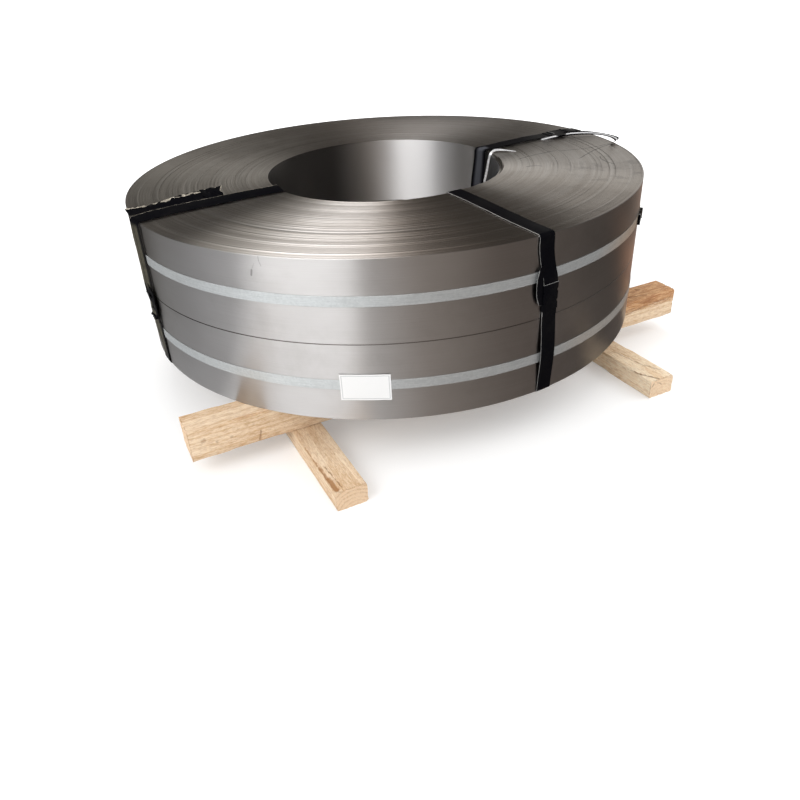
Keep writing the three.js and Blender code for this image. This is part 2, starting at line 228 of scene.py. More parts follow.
def place(piece: Piece, turn: Triple, move: Sequence[float]) -> None:
    """Turn a piece about the origin, move it, and bake both into its mesh."""
    with held(piece):
        piece.rotation_euler = turn
        piece.location = move
        bpy.ops.object.transform_apply(location=True, rotation=True, scale=True)


def swing(piece: Piece, azimuth: float) -> None:
    """Turn a piece about the coil axis to its azimuth, in degrees."""
    place(piece, (0, 0, math.radians(azimuth)), (0, 0, 0))


def smooth(piece: Piece, limit: float = 30.0) -> None:
    """Shade a piece smooth, except across edges sharper than a limit in degrees."""
    with held(piece):
        bpy.ops.object.shade_smooth_by_angle(angle=math.radians(limit))


def join_into(piece: Piece, other: Piece) -> None:
    """Join another object into a piece, which keeps its name."""
    with held(piece):
        other.select_set(True)
        bpy.ops.object.join()


def finish_piece(
    piece: Piece, material: Material, nodes: Sequence[str]
) -> None:
    """Dress a piece and fix it to the pack.

    Args:
        piece: the finished mesh.
        material: its finish.
        nodes: the frame nodes that it stands for.
    """
    piece.data.materials.clear()
    piece.data.materials.append(material)
    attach(piece, BODY)
    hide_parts(*nodes)
    log.info("%s: %d faces", piece.name, len(piece.data.polygons))


# --- Shader bench ---

class Recipe:
    """Writes the nodes of one material or one shared group."""

    def __init__(self, tree: bpy.types.NodeTree) -> None:
        """Start on an empty tree."""
        self.tree = tree
        tree.nodes.clear()

    def feed(self, socket: Socket, value: object) -> None:
        """Link a socket to another one, or give it a plain value."""
        if isinstance(value, Socket):
            self.tree.links.new(value, socket)
        else:
            socket.default_value = value

    def fill(self, node: Node, **values: object) -> None:
        """Feed a node's sockets by name, with _ for a space."""
        for key, value in values.items():
            self.feed(node.inputs[key.replace("_", " ")], value)

    def node(self, kind: str, *values: object, **settings: object) -> Node:
        """Add a node.

        Args:
            kind: the node's type, without its ShaderNode.
            values: what its first sockets get.
            settings: capitalised ones go to its sockets, the others are its own properties.

        Returns:
            The node.
        """
        made = self.tree.nodes.new(f"ShaderNode{kind}")
        for key, value in settings.items():
            if key[0].islower():
                setattr(made, key, value)
        for index, value in enumerate(values):
            self.feed(made.inputs[index], value)
        self.fill(made, **{key: value for key, value in settings.items() if key[0].isupper()})
        return made

    def math(self, operation: str, *values: object, clamp: bool = False) -> Socket:
        """A Math node on up to three values."""
        return self.node("Math", *values, operation=operation, use_clamp=clamp).outputs[0]

    def plus(self, first: object, second: object) -> Socket:
        """The sum of two values."""
        return self.math("ADD", first, second)

    def less(self, first: object, second: object) -> Socket:
        """The first value less the second."""
        return self.math("SUBTRACT", first, second)

    def times(self, first: object, second: object) -> Socket:
        """The product of two values."""
        return self.math("MULTIPLY", first, second)

    def most(self, first: object, second: object) -> Socket:
        """The greater of two values."""
        return self.math("MAXIMUM", first, second)

    def size(self, value: object) -> Socket:
        """A value without its sign."""
        return self.math("ABSOLUTE", value)

    def apart(self, first: object, second: object) -> Socket:
        """How far two values are apart."""
        return self.size(self.less(first, second))

    def rest(self, value: object) -> Socket:
        """What a value lacks of 1."""
        return self.less(1.0, value)

    def mean(self, *shares: tuple[object, float]) -> Socket:
        """A weighted sum of values."""
        total: object = 0.0
        for value, weight in shares:
            total = self.plus(total, self.times(value, weight))
        return total

    def vector(self, operation: str, *values: object) -> Socket:
        """A Vector Math node; a length, a distance or a dot product comes out as its value."""
        made = self.node("VectorMath", *values, operation=operation)
        return made.outputs["Value" if operation in {"LENGTH", "DOT_PRODUCT", "DISTANCE"} else "Vector"]

    def scaled(self, vector: object, by: object) -> Socket:
        """A vector made longer or shorter."""
        return self.node("VectorMath", vector, operation="SCALE", Scale=by).outputs["Vector"]

    def spread(
        self,
        value: object,
        low: float,
        high: float,
        to_low: float = 0.0,
        to_high: float = 1.0,
    ) -> Socket:
        """A smooth step from one range to another."""
        return self.node(
            "MapRange", value, low, high, to_low, to_high, interpolation_type="SMOOTHSTEP"
        ).outputs["Result"]

    def blend(self, factor: object, first: object, second: object) -> Socket:
        """Mix two colours."""
        made = self.node("Mix", factor, data_type="RGBA")
        for index, colour in ((MIX_FIRST, first), (MIX_SECOND, second)):
            self.feed(made.inputs[index], (*colour, 1.0) if isinstance(colour, tuple) else colour)
        return made.outputs[MIX_RESULT]

    def tint(self, base: object, mask: object, share: float, colour: Triple) -> Socket:
        """Lay a share of a colour over a base, where a mask says."""
        return self.blend(self.times(mask, share), base, colour)

    def noise(
        self,
        place: object,
        scale: float | Triple,
        detail: float = 3.0,
        rough: float = 0.5,
        bend: float = 0.0,
        turn: Triple = (0, 0, 0),
    ) -> Socket:
        """Soft noise in space, from 0 to 1.

        Args:
            place: where the noise is read.
            scale: how fine it is; three values stretch it.
            detail: how many finer layers it has.
            rough: how strong they are.
            bend: how much it is distorted.
            turn: how a stretched one is turned.
        """
        if isinstance(scale, tuple):
            place, scale = self.stretch(place, scale, turn), 1.0
        return self.node(
            "TexNoise", Vector=place, Scale=scale, Detail=detail, Roughness=rough, Distortion=bend
        ).outputs["Fac"]

    def noise_along(self, value: object, scale: float, detail: float, rough: float) -> Socket:
        """Noise along one measure only, such as a radius."""
        return self.node(
            "TexNoise", noise_dimensions="1D", W=value, Scale=scale, Detail=detail, Roughness=rough
        ).outputs["Fac"]

    def stretch(self, vector: object, scale: Sequence[float], turn: Sequence[float] = (0, 0, 0)) -> Socket:
        """Scale and turn a pattern's coordinates."""
        return self.node("Mapping", Vector=vector, Rotation=turn, Scale=scale).outputs["Vector"]

    def cells_along(self, value: object, scale: float) -> tuple[Socket, Socket]:
        """Uneven bands along one measure: a random value for each band, and the distance to its edge."""
        bands, edges = (
            self.node("TexVoronoi", voronoi_dimensions="1D", feature=feature, W=value, Scale=scale)
            for feature in ("F1", "DISTANCE_TO_EDGE")
        )
        return self.parts(bands.outputs["Color"])[0], edges.outputs["Distance"]

    def join(self, x: object, y: object, z: object) -> Socket:
        """Make a vector of three values."""
        return self.node("CombineXYZ", x, y, z).outputs[0]

    def parts(self, vector: object) -> tuple[Socket, ...]:
        """Split a vector."""
        return tuple(self.node("SeparateXYZ", vector).outputs)

    def ramp(self, value: object, stops: Sequence[tuple[float, Sequence[float]]]) -> Socket:
        """A colour ramp with the given stops."""
        made = self.node("ValToRGB", value)
        elements = made.color_ramp.elements
        while len(elements) < len(stops):
            elements.new(0.5)
        for element, (position, colour) in zip(elements, stops):
            element.position = position
            element.color = (*colour, 1.0)
        return made.outputs["Color"]

    def bump(self, height: object, strength: float, distance: float) -> Socket:
        """Turn a height into a normal."""
        return self.node("Bump", Strength=strength, Distance=distance, Height=height).outputs["Normal"]

    def place(self) -> Socket:
        """Where a point of the pack is, in metres."""
        return self.node("TexCoord").outputs["Object"]

    def normal(self, which: str = "Normal") -> Socket:
        """Which way the surface faces, shaded or true."""
        return self.node("NewGeometry").outputs[which]

    def group(self, tree: bpy.types.NodeTree, **values: object) -> Node:
        """Place a shared group and set its inputs by name."""
        return self.node("Group", node_tree=tree, **values)


def new_material(name: str) -> tuple[Material, Recipe]:
    """Start a material with an empty tree."""
    material = bpy.data.materials.new(name)
    material.use_nodes = True
    return material, Recipe(material.node_tree)


def new_group(
    name: str, inputs: Sequence[tuple[str, str, object]], outputs: Sequence[tuple[str, str]]
) -> tuple[bpy.types.NodeTree, Recipe, Node, Node]:
    """Start a shared node group.

    Args:
        name: what the group is called.
        inputs: name, kind and default of each input socket.
        outputs: name and kind of each output socket.

    Returns:
        The tree, its mix, and its input and output nodes.
    """
    kinds = {"value": "NodeSocketFloat", "vector": "NodeSocketVector", "colour": "NodeSocketColor"}
    tree = bpy.data.node_groups.new(name, "ShaderNodeTree")
    mix = Recipe(tree)
    for label, kind, default in inputs:
        socket = tree.interface.new_socket(label, in_out="INPUT", socket_type=kinds[kind])
        if default is not None:
            socket.default_value = default
    for label, kind in outputs:
        tree.interface.new_socket(label, in_out="OUTPUT", socket_type=kinds[kind])
    return tree, mix, tree.nodes.new("NodeGroupInput"), tree.nodes.new("NodeGroupOutput")


class SharedEffects:
    """Node groups that more than one finish uses."""

    def __init__(self) -> None:
        """Build each group once."""
        self.polar = self._polar()
        self.smudges = self._smudges()
        self.arc_line = self._arc_line()

    @staticmethod
    def _polar() -> bpy.types.NodeTree:
        """Radius, angle and height of a point about the coil axis."""
        outputs = (("Radius", "value"), ("Angle", "value"), ("Height", "value"))
        tree, mix, start, end = new_group("polar place", (("Place", "vector", None),), outputs)
        x, y, z = mix.parts(start.outputs["Place"])
        flat = mix.join(x, y, 0.0)
        mix.fill(end, Radius=mix.vector("LENGTH", flat), Angle=mix.math("ARCTAN2", y, x), Height=z)
        return tree

    @staticmethod
    def _smudges() -> bpy.types.NodeTree:
        """Broad soft patches of handling grime, with sharper flecks in them."""
        inputs = (("Place", "vector", None), ("Size", "value", 6.0), ("Cover", "value", 0.5))
        tree, mix, start, end = new_group("smudges", inputs, (("Mask", "value"),))
        place = start.outputs["Place"]
        sized = mix.scaled(place, start.outputs["Size"])
        broad = mix.noise(sized, 1.0, detail=4.0, rough=0.6, bend=0.4)
        fleck = mix.noise(sized, 9.0, detail=3.0, rough=0.7)
        mixed = mix.plus(mix.times(broad, 0.75), mix.times(fleck, 0.25))
        edge = mix.rest(start.outputs["Cover"])
        low = mix.less(edge, 0.12)
        high = mix.plus(edge, 0.18)
        mix.fill(end, Mask=mix.spread(mixed, low, high))
        return tree

    @staticmethod
    def _arc_line() -> bpy.types.NodeTree:
        """A thin dark line on an arc."""
        inputs = (
            ("Place", "vector", None),
            ("Centre", "vector", None),
            ("Middle", "vector", None),
            ("Radius", "value", 0.1),
            ("Reach", "value", 0.05),
        )
        tree, mix, start, end = new_group("arc_line", inputs, (("Mask", "value"),))
        place = start.outputs["Place"]
        shake = mix.noise(place, 60.0, detail=2.0)
        out = mix.less(mix.vector("DISTANCE", place, start.outputs["Centre"]), start.outputs["Radius"])
        out = mix.plus(out, mix.times(mix.less(shake, 0.5), 0.006))
        line = mix.spread(mix.size(out), 0.0008, 0.0020, 1.0, 0.0)
        far = mix.math("DIVIDE", mix.vector("DISTANCE", place, start.outputs["Middle"]), start.outputs["Reach"])
        mix.fill(end, Mask=mix.times(line, mix.spread(far, 0.75, 1.0, 1.0, 0.0)))
        return tree


@dataclass(frozen=True)
class Finish:
    """One finish of the pack: a Principled surface whose detail comes from nodes."""

    effects: SharedEffects
    name: str

    def begin(self) -> tuple[Material, Recipe, Node]:
        """Start a material with its surface node."""
        material, mix = new_material(self.name)
        surface = mix.node("BsdfPrincipled")
        mix.node("OutputMaterial", Surface=surface.outputs["BSDF"])
        return material, mix, surface

    def grime(self, mix: Recipe, place: Socket, size: float, cover: float) -> Socket:
        """The shared smudges as a mask, with their fineness and how much they cover."""
        return mix.group(self.effects.smudges, Place=place, Size=size, Cover=cover).outputs["Mask"]


@dataclass(frozen=True)
class Mark:
    """A seam, notch, torn arris or knot in a timber, along a short line, in millimetres. A knot's colour is the
    wood's own; in a seam, notch or torn arris the dark colour is partly the wood's and partly painted shade.
    """

    start: Triple
    stop: Triple
    width: float
    strength: float = 0.7
    sink: float = 0.0
    colour: Triple = (0.22, 0.105, 0.045)

    @property
    def ends(self) -> tuple[Vector, Vector]:
        """Both ends, in metres."""
        return Vector(self.start) * MM, Vector(self.stop) * MM

    def away(self, point: Vector) -> float:
        """Distance of a point from the line."""
        start, stop = self.ends
        run = stop - start
        share = min(max((point - start).dot(run) / run.length_squared, 0.0), 1.0)
        return (point - start - run * share).length

    def cover(self, mix: Recipe, place: Socket) -> Socket:
        """How much of the mark covers a place, from 0 to 1."""
        start, stop = self.ends
        run = stop - start
        offset = mix.vector("SUBTRACT", place, tuple(start))
        dot = mix.vector("DOT_PRODUCT", offset, tuple(run))
        share = mix.math("DIVIDE", dot, run.length_squared, clamp=True)
        away = mix.vector("DISTANCE", offset, mix.scaled(tuple(run), share))
        inner, outer = self.width * 0.35 * MM, self.width * MM
        return mix.times(mix.spread(away, inner, outer, 1.0, 0.0), self.strength)


# Small dark marks where the coil's wall is knocked: colour only, a painted shade of the dents.
KNOCKS = (
    Mark((-417, -359, 383), (-418, -357, 374), 2.6, strength=0.62),
    Mark((-406, -371, 408), (-406, -371, 401), 1.1, strength=0.45),
    Mark((-406, -371, 401), (-404, -373, 392), 1.1, strength=0.4),
    Mark((-413, -364, 395), (-416, -360, 386), 1.0, strength=0.3),
)


@dataclass(frozen=True)
class StripSteel(Finish):
    """Cold rolled strip with a satin face, seen on the walls and in the eye."""

    name: str = "strip steel"
    colour: Triple = (0.53, 0.52, 0.515)
    dull: Triple = (0.45, 0.437, 0.43)
    knocks: tuple[Mark, ...] = KNOCKS

    def seam(self, mix: Recipe, place: Socket) -> Socket:
        """The dark joint line between the two coils, with painted shade in it that is stronger towards the
        left.
        """
        x, _, z = mix.parts(place)
        off = mix.apart(z, SEAM_HEIGHT)
        return mix.times(mix.spread(off, 0.0007, 0.0014, 1.0, 0.0), mix.spread(x, -0.42, 0.05, 0.92, 0.30))

    def behind_strap(self, mix: Recipe, place: Socket) -> Socket:
        """The shade on the eye's wall behind the rear strap."""
        x, y, _ = mix.parts(place)
        shade = mix.spread(mix.size(mix.plus(y, 0.006)), 0.020, 0.046, 0.92, 0.0)
        shade = mix.times(shade, mix.spread(x, 0.0, 0.1))
        beside = mix.times(mix.spread(y, -0.03, -0.01, 0.84, 0.0), mix.spread(x, 0.17, 0.215))
        return mix.most(shade, beside)

    def polar(self, mix: Recipe, place: Socket) -> tuple[Socket, Socket, Socket]:
        """Radius, angle and height of a place."""
        outputs = mix.group(self.effects.polar, Place=place).outputs
        return outputs["Radius"], outputs["Angle"], outputs["Height"]

    def groove(self, mix: Recipe, surface: Node) -> None:
        """Stretch the gloss across the rolling marks, which run round the coil."""
        mix.fill(surface, Metallic=1.0, Anisotropic_Rotation=0.25)
        tangent = mix.node("Tangent", direction_type="RADIAL", axis="Z")
        mix.fill(surface, Tangent=tangent.outputs[0])

    def make(self) -> Material:
        """Build the material."""
        material, mix, surface = self.begin()
        place = mix.place()
        radius, angle, height = self.polar(mix, place)
        rolled = mix.noise(mix.join(angle, height, radius), (2.2, 900.0, 0.0), 3.0, 0.6)
        cloud = mix.noise(place, (3.0, 3.0, 7.0), 3.0, 0.55)
        tone = mix.plus(mix.times(rolled, 0.35), mix.times(cloud, 0.65))
        colour = mix.blend(mix.spread(tone, 0.3, 0.7), self.dull, self.colour)
        grime = self.grime(mix, place, 5.0, 0.42)
        colour = mix.tint(colour, grime, 0.16, (0.16, 0.135, 0.115))
        # The eye's wall is painted lighter all round, a painted light, and its left side darker again, a
        # painted shade.
        inside = mix.spread(radius, 0.27, 0.30, 1.0, 0.0)
        colour = mix.tint(colour, inside, 0.9, (0.72, 0.71, 0.705))
        painted_shade = mix.spread(mix.parts(place)[0], -0.03, 0.13, 0.86, 0.0)
        colour = mix.blend(mix.times(inside, painted_shade), colour, (0.05, 0.045, 0.042))
        colour = mix.blend(mix.times(inside, self.behind_strap(mix, place)), colour, (0.03, 0.03, 0.034))
        colour = mix.blend(self.seam(mix, place), colour, (0.035, 0.03, 0.028))
        for knock in self.knocks:
            colour = mix.blend(knock.cover(mix, place), colour, (0.16, 0.15, 0.15))
        mix.fill(surface, Base_Color=colour)
        rough = mix.mean((tone, 0.08), (grime, 0.06), (inside, 0.05), (1.0, 0.34))
        mix.fill(surface, Roughness=rough, Anisotropic=0.9)
        self.groove(mix, surface)
        mix.fill(surface, Normal=mix.bump(rolled, 0.12, 0.0002))
        return material


@dataclass(frozen=True)
class SlitEnds(StripSteel):
    """The ends of the turns: slit edges, each rolled over a little towards the outside."""

    name: str = "slit ends"
    colour: Triple = (0.61, 0.58, 0.551)
    dull: Triple = (0.512, 0.475, 0.44)
    least_lean: float = 0.48
    most_lean: float = 0.90
    dark_arcs: tuple[tuple[float, float, float, float, float, float], ...] = (
        (475.0, 39.8, 183.7, 452.6, -142.5, 78.0),
        (360.5, -477.9, 361.6, 322.7, -118.3, 62.0),
        (626.7, -590.9, 459.7, 447.0, -167.7, 88.0),
        (249.2, -219.5, 29.9, 264.6, -193.9, 20.0),
        (493.0, -270.3, 87.6, 408.4, -247.6, 40.0),
    )
    rub_and_sheen: Triple = (402.0, -325.0, 409.0)
    shade_towards: Triple = (0.66, 0.75, 0.0)
    calmed: Triple = (0.883, -0.469, 0.0)

    def scuffs_and_arcs(self, mix: Recipe, place: Socket) -> Socket:
        """Thin dark curved lines beside the bare strap, and a rubbed patch near the rim."""
        mask = self.grime(mix, place, 30.0, 0.42)
        away = mix.vector("DISTANCE", place, tuple(value * MM for value in self.rub_and_sheen))
        mask = mix.times(mask, mix.spread(away, 0.07, 0.17, 0.8, 0.0))
        for centre_x, centre_y, radius, middle_x, middle_y, reach in self.dark_arcs:
            values = {
                "Place": place,
                "Centre": (centre_x * MM, centre_y * MM, 0.409),
                "Middle": (middle_x * MM, middle_y * MM, 0.409),
                "Radius": radius * MM,
                "Reach": reach * MM,
            }
            mask = mix.most(mask, mix.group(self.effects.arc_line, **values).outputs["Mask"])
        return mask

    def make(self) -> Material:
        """Build the material."""
        material, mix, surface = self.begin()
        place = mix.place()
        radius, _, _ = self.polar(mix, place)
        group, edge = mix.cells_along(radius, 118.0)
        turn, _ = mix.cells_along(mix.plus(radius, 2.3), 330.0)
        other, _ = mix.cells_along(mix.plus(radius, 5.1), 260.0)
        fine = mix.noise_along(radius, 700.0, detail=2.0, rough=0.7)

        tone = mix.mean((group, 0.20), (other, 0.45), (fine, 0.35))
        colour = mix.blend(mix.spread(tone, 0.22, 0.78), self.dull, self.colour)
        line = mix.times(mix.spread(edge, 0.02, 0.16, 1.0, 0.0), mix.spread(group, 0.2, 0.7, 0.25, 0.7))
        shaken = mix.times(mix.noise_along(radius, 45.0, detail=1.0, rough=0.5), 0.016)
        phase = mix.math("FRACT", mix.times(mix.plus(radius, shaken), 78.0))
        even = mix.spread(mix.apart(phase, 0.5), 0.0, 0.13, 1.0, 0.0)
        even = mix.times(even, mix.spread(other, 0.15, 0.85, 0.45, 1.0))
        x, y, _ = mix.parts(place)
        outward = mix.vector("NORMALIZE", mix.join(x, y, 0.0))
        calm = mix.spread(mix.vector("DOT_PRODUCT", outward, self.calmed), 0.64, 0.85, 0.0, 0.62)
        line = mix.times(mix.most(line, even), mix.rest(calm))
        # Dark lines at the joints between the turns, and painted shade on the steep step faces.
        steep = mix.size(mix.parts(mix.normal("True Normal"))[2])
        joint_and_step_shade = mix.most(mix.times(line, 0.35), mix.spread(steep, 0.70, 0.92, 1.0, 0.0))
        colour = mix.tint(colour, joint_and_step_shade, 0.55, (0.10, 0.088, 0.078))
        grime = self.grime(mix, place, 6.0, 0.45)
        colour = mix.tint(colour, grime, 0.22, (0.15, 0.125, 0.105))
        # Painted shade on the far part of the slit ends.
        toward = mix.vector("DOT_PRODUCT", mix.vector("NORMALIZE", place), self.shade_towards)
        painted_shade = mix.spread(toward, 0.70, 0.82, 0.0, 0.60)
        colour = mix.blend(painted_shade, colour, (0.13, 0.122, 0.115))
        colour = mix.blend(mix.times(self.scuffs_and_arcs(mix, place), 0.85), colour, (0.06, 0.052, 0.047))
        mix.fill(surface, Base_Color=colour)
        rough = mix.mean((grime, 0.06), (joint_and_step_shade, 0.10), (1.0, 0.365))
        mix.fill(surface, Roughness=rough, Anisotropic=0.85)
        self.groove(mix, surface)

        turned = mix.mean((turn, 0.40), (group, 0.25), (fine, 0.35))
        level = mix.times(mix.less(0.5, turned), calm)
        turned = mix.plus(turned, level)
        lean = mix.spread(turned, 0.15, 0.85, self.least_lean, self.most_lean)
        lean = mix.times(lean, mix.rest(mix.times(line, 0.75)))
        leaning = mix.vector("ADD", mix.normal(), mix.scaled(outward, lean))
        mix.fill(surface, Normal=mix.vector("NORMALIZE", leaning))
        return material


@dataclass(frozen=True)
class StrapPaint(Finish):
    """Black strapping paint, worn to bright metal along its slit edges; where a strap's map keeps that edge to
    its lit side, the bright edge is a painted highlight.
    """

    name: str = "black strap paint"
    worn_from: float = 0.480
    fray: float = 0.03
    painted_sheen: float = 0.0
    rub_and_sheen: float = 0.0
    metal: Triple = (0.40, 0.40, 0.395)

    def make(self) -> Material:
        """Build the material."""
        material, mix, surface = self.begin()
        place = mix.place()
        across = mix.node("UVMap", uv_map="strap").outputs["UV"]
        side = mix.parts(across)[1]
        ragged = mix.noise(place, (60, 60, 60), 3.0, 0.7)
        reach = mix.apart(side, 0.5)
        reach = mix.plus(reach, mix.times(mix.less(ragged, 0.5), self.fray))
        bright = mix.spread(reach, self.worn_from, self.worn_from + 0.02)
        dust = self.grime(mix, place, 14.0, 0.45)
        paint = mix.blend(mix.times(dust, 0.35), (0.0024, 0.0024, 0.0036), (0.012, 0.011, 0.010))
        # Painted sheen: an olive grey film on the strap where it runs down the outer wall.
        if self.painted_sheen:
            sheen_mask = mix.times(
                self.on_wall(mix, place), mix.spread(ragged, 0.3, 0.7, self.painted_sheen * 0.6, self.painted_sheen)
            )
            sheen_mask = mix.times(sheen_mask, self.sheen_bands(mix, place, across, ragged))
            paint = mix.blend(sheen_mask, paint, (0.088, 0.080, 0.058))
        # Painted sheen: a lighter blue-grey band down the middle of the strap in the eye.
        if self.rub_and_sheen:
            radius = mix.group(self.effects.polar, Place=place).outputs["Radius"]
            sheen_band = mix.spread(mix.apart(side, 0.48), 0.10, 0.34, self.rub_and_sheen, 0.0)
            sheen_band = mix.times(sheen_band, mix.spread(radius, 0.262, 0.270, 1.0, 0.0))
            paint = mix.blend(sheen_band, paint, (0.075, 0.077, 0.088))
        mix.fill(surface, Base_Color=mix.blend(bright, paint, self.metal))
        mix.fill(surface, Metallic=mix.times(bright, 0.7))
        mix.fill(surface, Roughness=mix.plus(0.34, mix.times(dust, 0.20)), Specular_IOR_Level=0.2)
        mix.fill(surface, IOR=1.18)
        fine = mix.noise(place, (900, 900, 900), 2.0, 0.6)
        mix.fill(surface, Normal=mix.bump(fine, 0.12, 0.0002))
        return material

    def sheen_bands(self, mix: Recipe, place: Socket, across: Socket, ragged: Socket) -> Socket:
        """Where the painted sheen lies: not on the near edge, nor in a crease, nor at the foot, nor on a loose
        fold.
        """
        run, side, _ = mix.parts(across)
        crease = mix.apart(mix.plus(side, mix.times(ragged, 0.10)), 0.42)
        bands = mix.times(mix.spread(side, 0.70, 0.78, 1.0, 0.10), mix.spread(crease, 0.02, 0.055, 0.25, 1.0))
        foot = mix.times(mix.spread(mix.parts(place)[2], 0.112, 0.140, 0.2, 1.0), mix.spread(run, -5.0, -4.0))
        return mix.times(bands, foot)

    def on_wall(self, mix: Recipe, place: Socket) -> Socket:
        """1 where the strap lies on the coil's outer wall, 0 on the top and in the eye."""
        x, y, z = mix.parts(place)
        out = mix.spread(mix.vector("LENGTH", mix.join(x, y, 0.0)), 0.535, 0.545, 0.0, 1.0)
        return mix.times(out, mix.spread(z, 0.395, 0.408, 1.0, 0.0))


@dataclass(frozen=True)
class Galvanised(Finish):
    """Zinc coated girth strapping: pale blue-grey with a faint spangle."""

    name: str = "galvanised strap"
    reflection_towards: Triple = (0.675, -0.737, 0.0)

    def make(self) -> Material:
        """Build the material."""
        material, mix, surface = self.begin()
        place = mix.place()
        polar = mix.group(self.effects.polar, Place=place)
        run = mix.join(polar.outputs["Angle"], polar.outputs["Height"], 0.0)
        streak = mix.noise(run, (9.0, 700.0, 1.0), 3.0, 0.6)
        spangle = mix.node("TexVoronoi", feature="F1", Vector=place, Scale=260.0)
        flake = mix.parts(spangle.outputs["Color"])[0]
        tone = mix.plus(mix.times(streak, 0.85), mix.times(flake, 0.15))
        colour = mix.blend(mix.spread(tone, 0.2, 0.8), (0.45, 0.474, 0.48), (0.60, 0.622, 0.626))
        grime = self.grime(mix, place, 9.0, 0.38)
        colour = mix.tint(colour, grime, 0.3, (0.26, 0.25, 0.235))
        # Painted warm reflection towards the right side of the pack, weaker on the lower strap.
        toward = mix.vector("DOT_PRODUCT", mix.vector("NORMALIZE", place), self.reflection_towards)
        warm_reflection = mix.times(
            mix.spread(toward, 0.76, 0.86, 0.0, 0.6), mix.spread(mix.parts(place)[2], 0.20, 0.32, 0.35, 1.0)
        )
        colour = mix.blend(warm_reflection, colour, (0.66, 0.48, 0.31))
        mix.fill(surface, Base_Color=colour, Metallic=0.7)
        mix.fill(surface, Roughness=mix.spread(tone, 0.2, 0.8, 0.50, 0.42))
        mix.fill(surface, Normal=mix.bump(streak, 0.15, 0.0002))
        return material


@dataclass(frozen=True)
class BrightStrip(Finish):
    """Bare strapping: its crumpled face is painted near white, partly a painted highlight, and its edges
    towards the rim dark, a painted shadow.
    """

    name: str = "bare bright strap"

    def make(self) -> Material:
        """Build the material."""
        material, mix, surface = self.begin()
        place = mix.place()
        ripple = mix.noise(place, (140, 140, 140), 3.0, 0.6)
        colour = mix.blend(ripple, (0.70, 0.70, 0.71), (0.93, 0.93, 0.94))
        side = mix.node("Attribute", attribute_name="across").outputs["Fac"]
        edge = mix.apart(side, 0.5)
        edge = mix.plus(edge, mix.times(mix.less(ripple, 0.5), 0.14))
        # Painted shadow along the strip's edges towards the rim.
        edge_shadow = mix.times(mix.spread(edge, 0.13, 0.19), mix.spread(mix.parts(place)[0], 0.38, 0.44, 0.0, 1.0))
        colour = mix.blend(edge_shadow, colour, (0.012, 0.011, 0.012))
        mix.fill(surface, Base_Color=colour, Metallic=0.40, Specular_IOR_Level=0.2, IOR=1.18)
        mix.fill(surface, Roughness=mix.spread(ripple, 0.3, 0.7, 0.18, 0.34))
        mix.fill(surface, Normal=mix.bump(ripple, 0.3, 0.001))
        return material


@dataclass(frozen=True)
class LabelPaper(Finish):
    """A blank white label with a thin printed frame set in from its edge."""

    name: str = "label paper"

    def make(self) -> Material:
        """Build the material."""
        material, mix, surface = self.begin()
        sheet = mix.node("UVMap", uv_map="sheet").outputs["UV"]
        across, up, _ = mix.parts(sheet)
        inset_x = mix.less(0.5, mix.apart(across, 0.5))
        inset_y = mix.less(0.5, mix.apart(up, 0.5))
        nearest = mix.math("MINIMUM", mix.times(inset_x, 90.0), mix.times(inset_y, 52.0))
        off_line = mix.apart(nearest, 3.2)
        line = mix.spread(off_line, 0.5, 0.9, 1.0, 0.0)
        fibre = mix.noise(mix.place(), (700, 700, 700), 3.0, 0.7)
        paper = mix.blend(fibre, (0.76, 0.76, 0.755), (0.82, 0.82, 0.815))
        mix.fill(surface, Base_Color=mix.tint(paper, line, 0.7, (0.42, 0.43, 0.44)), Roughness=0.55)
        mix.fill(surface, Normal=mix.bump(fibre, 0.08, 0.0002))
        return material


class Grain(Enum):
    """Which way a timber runs."""

    ALONG_X = 0.0
    ALONG_Y = math.pi / 2


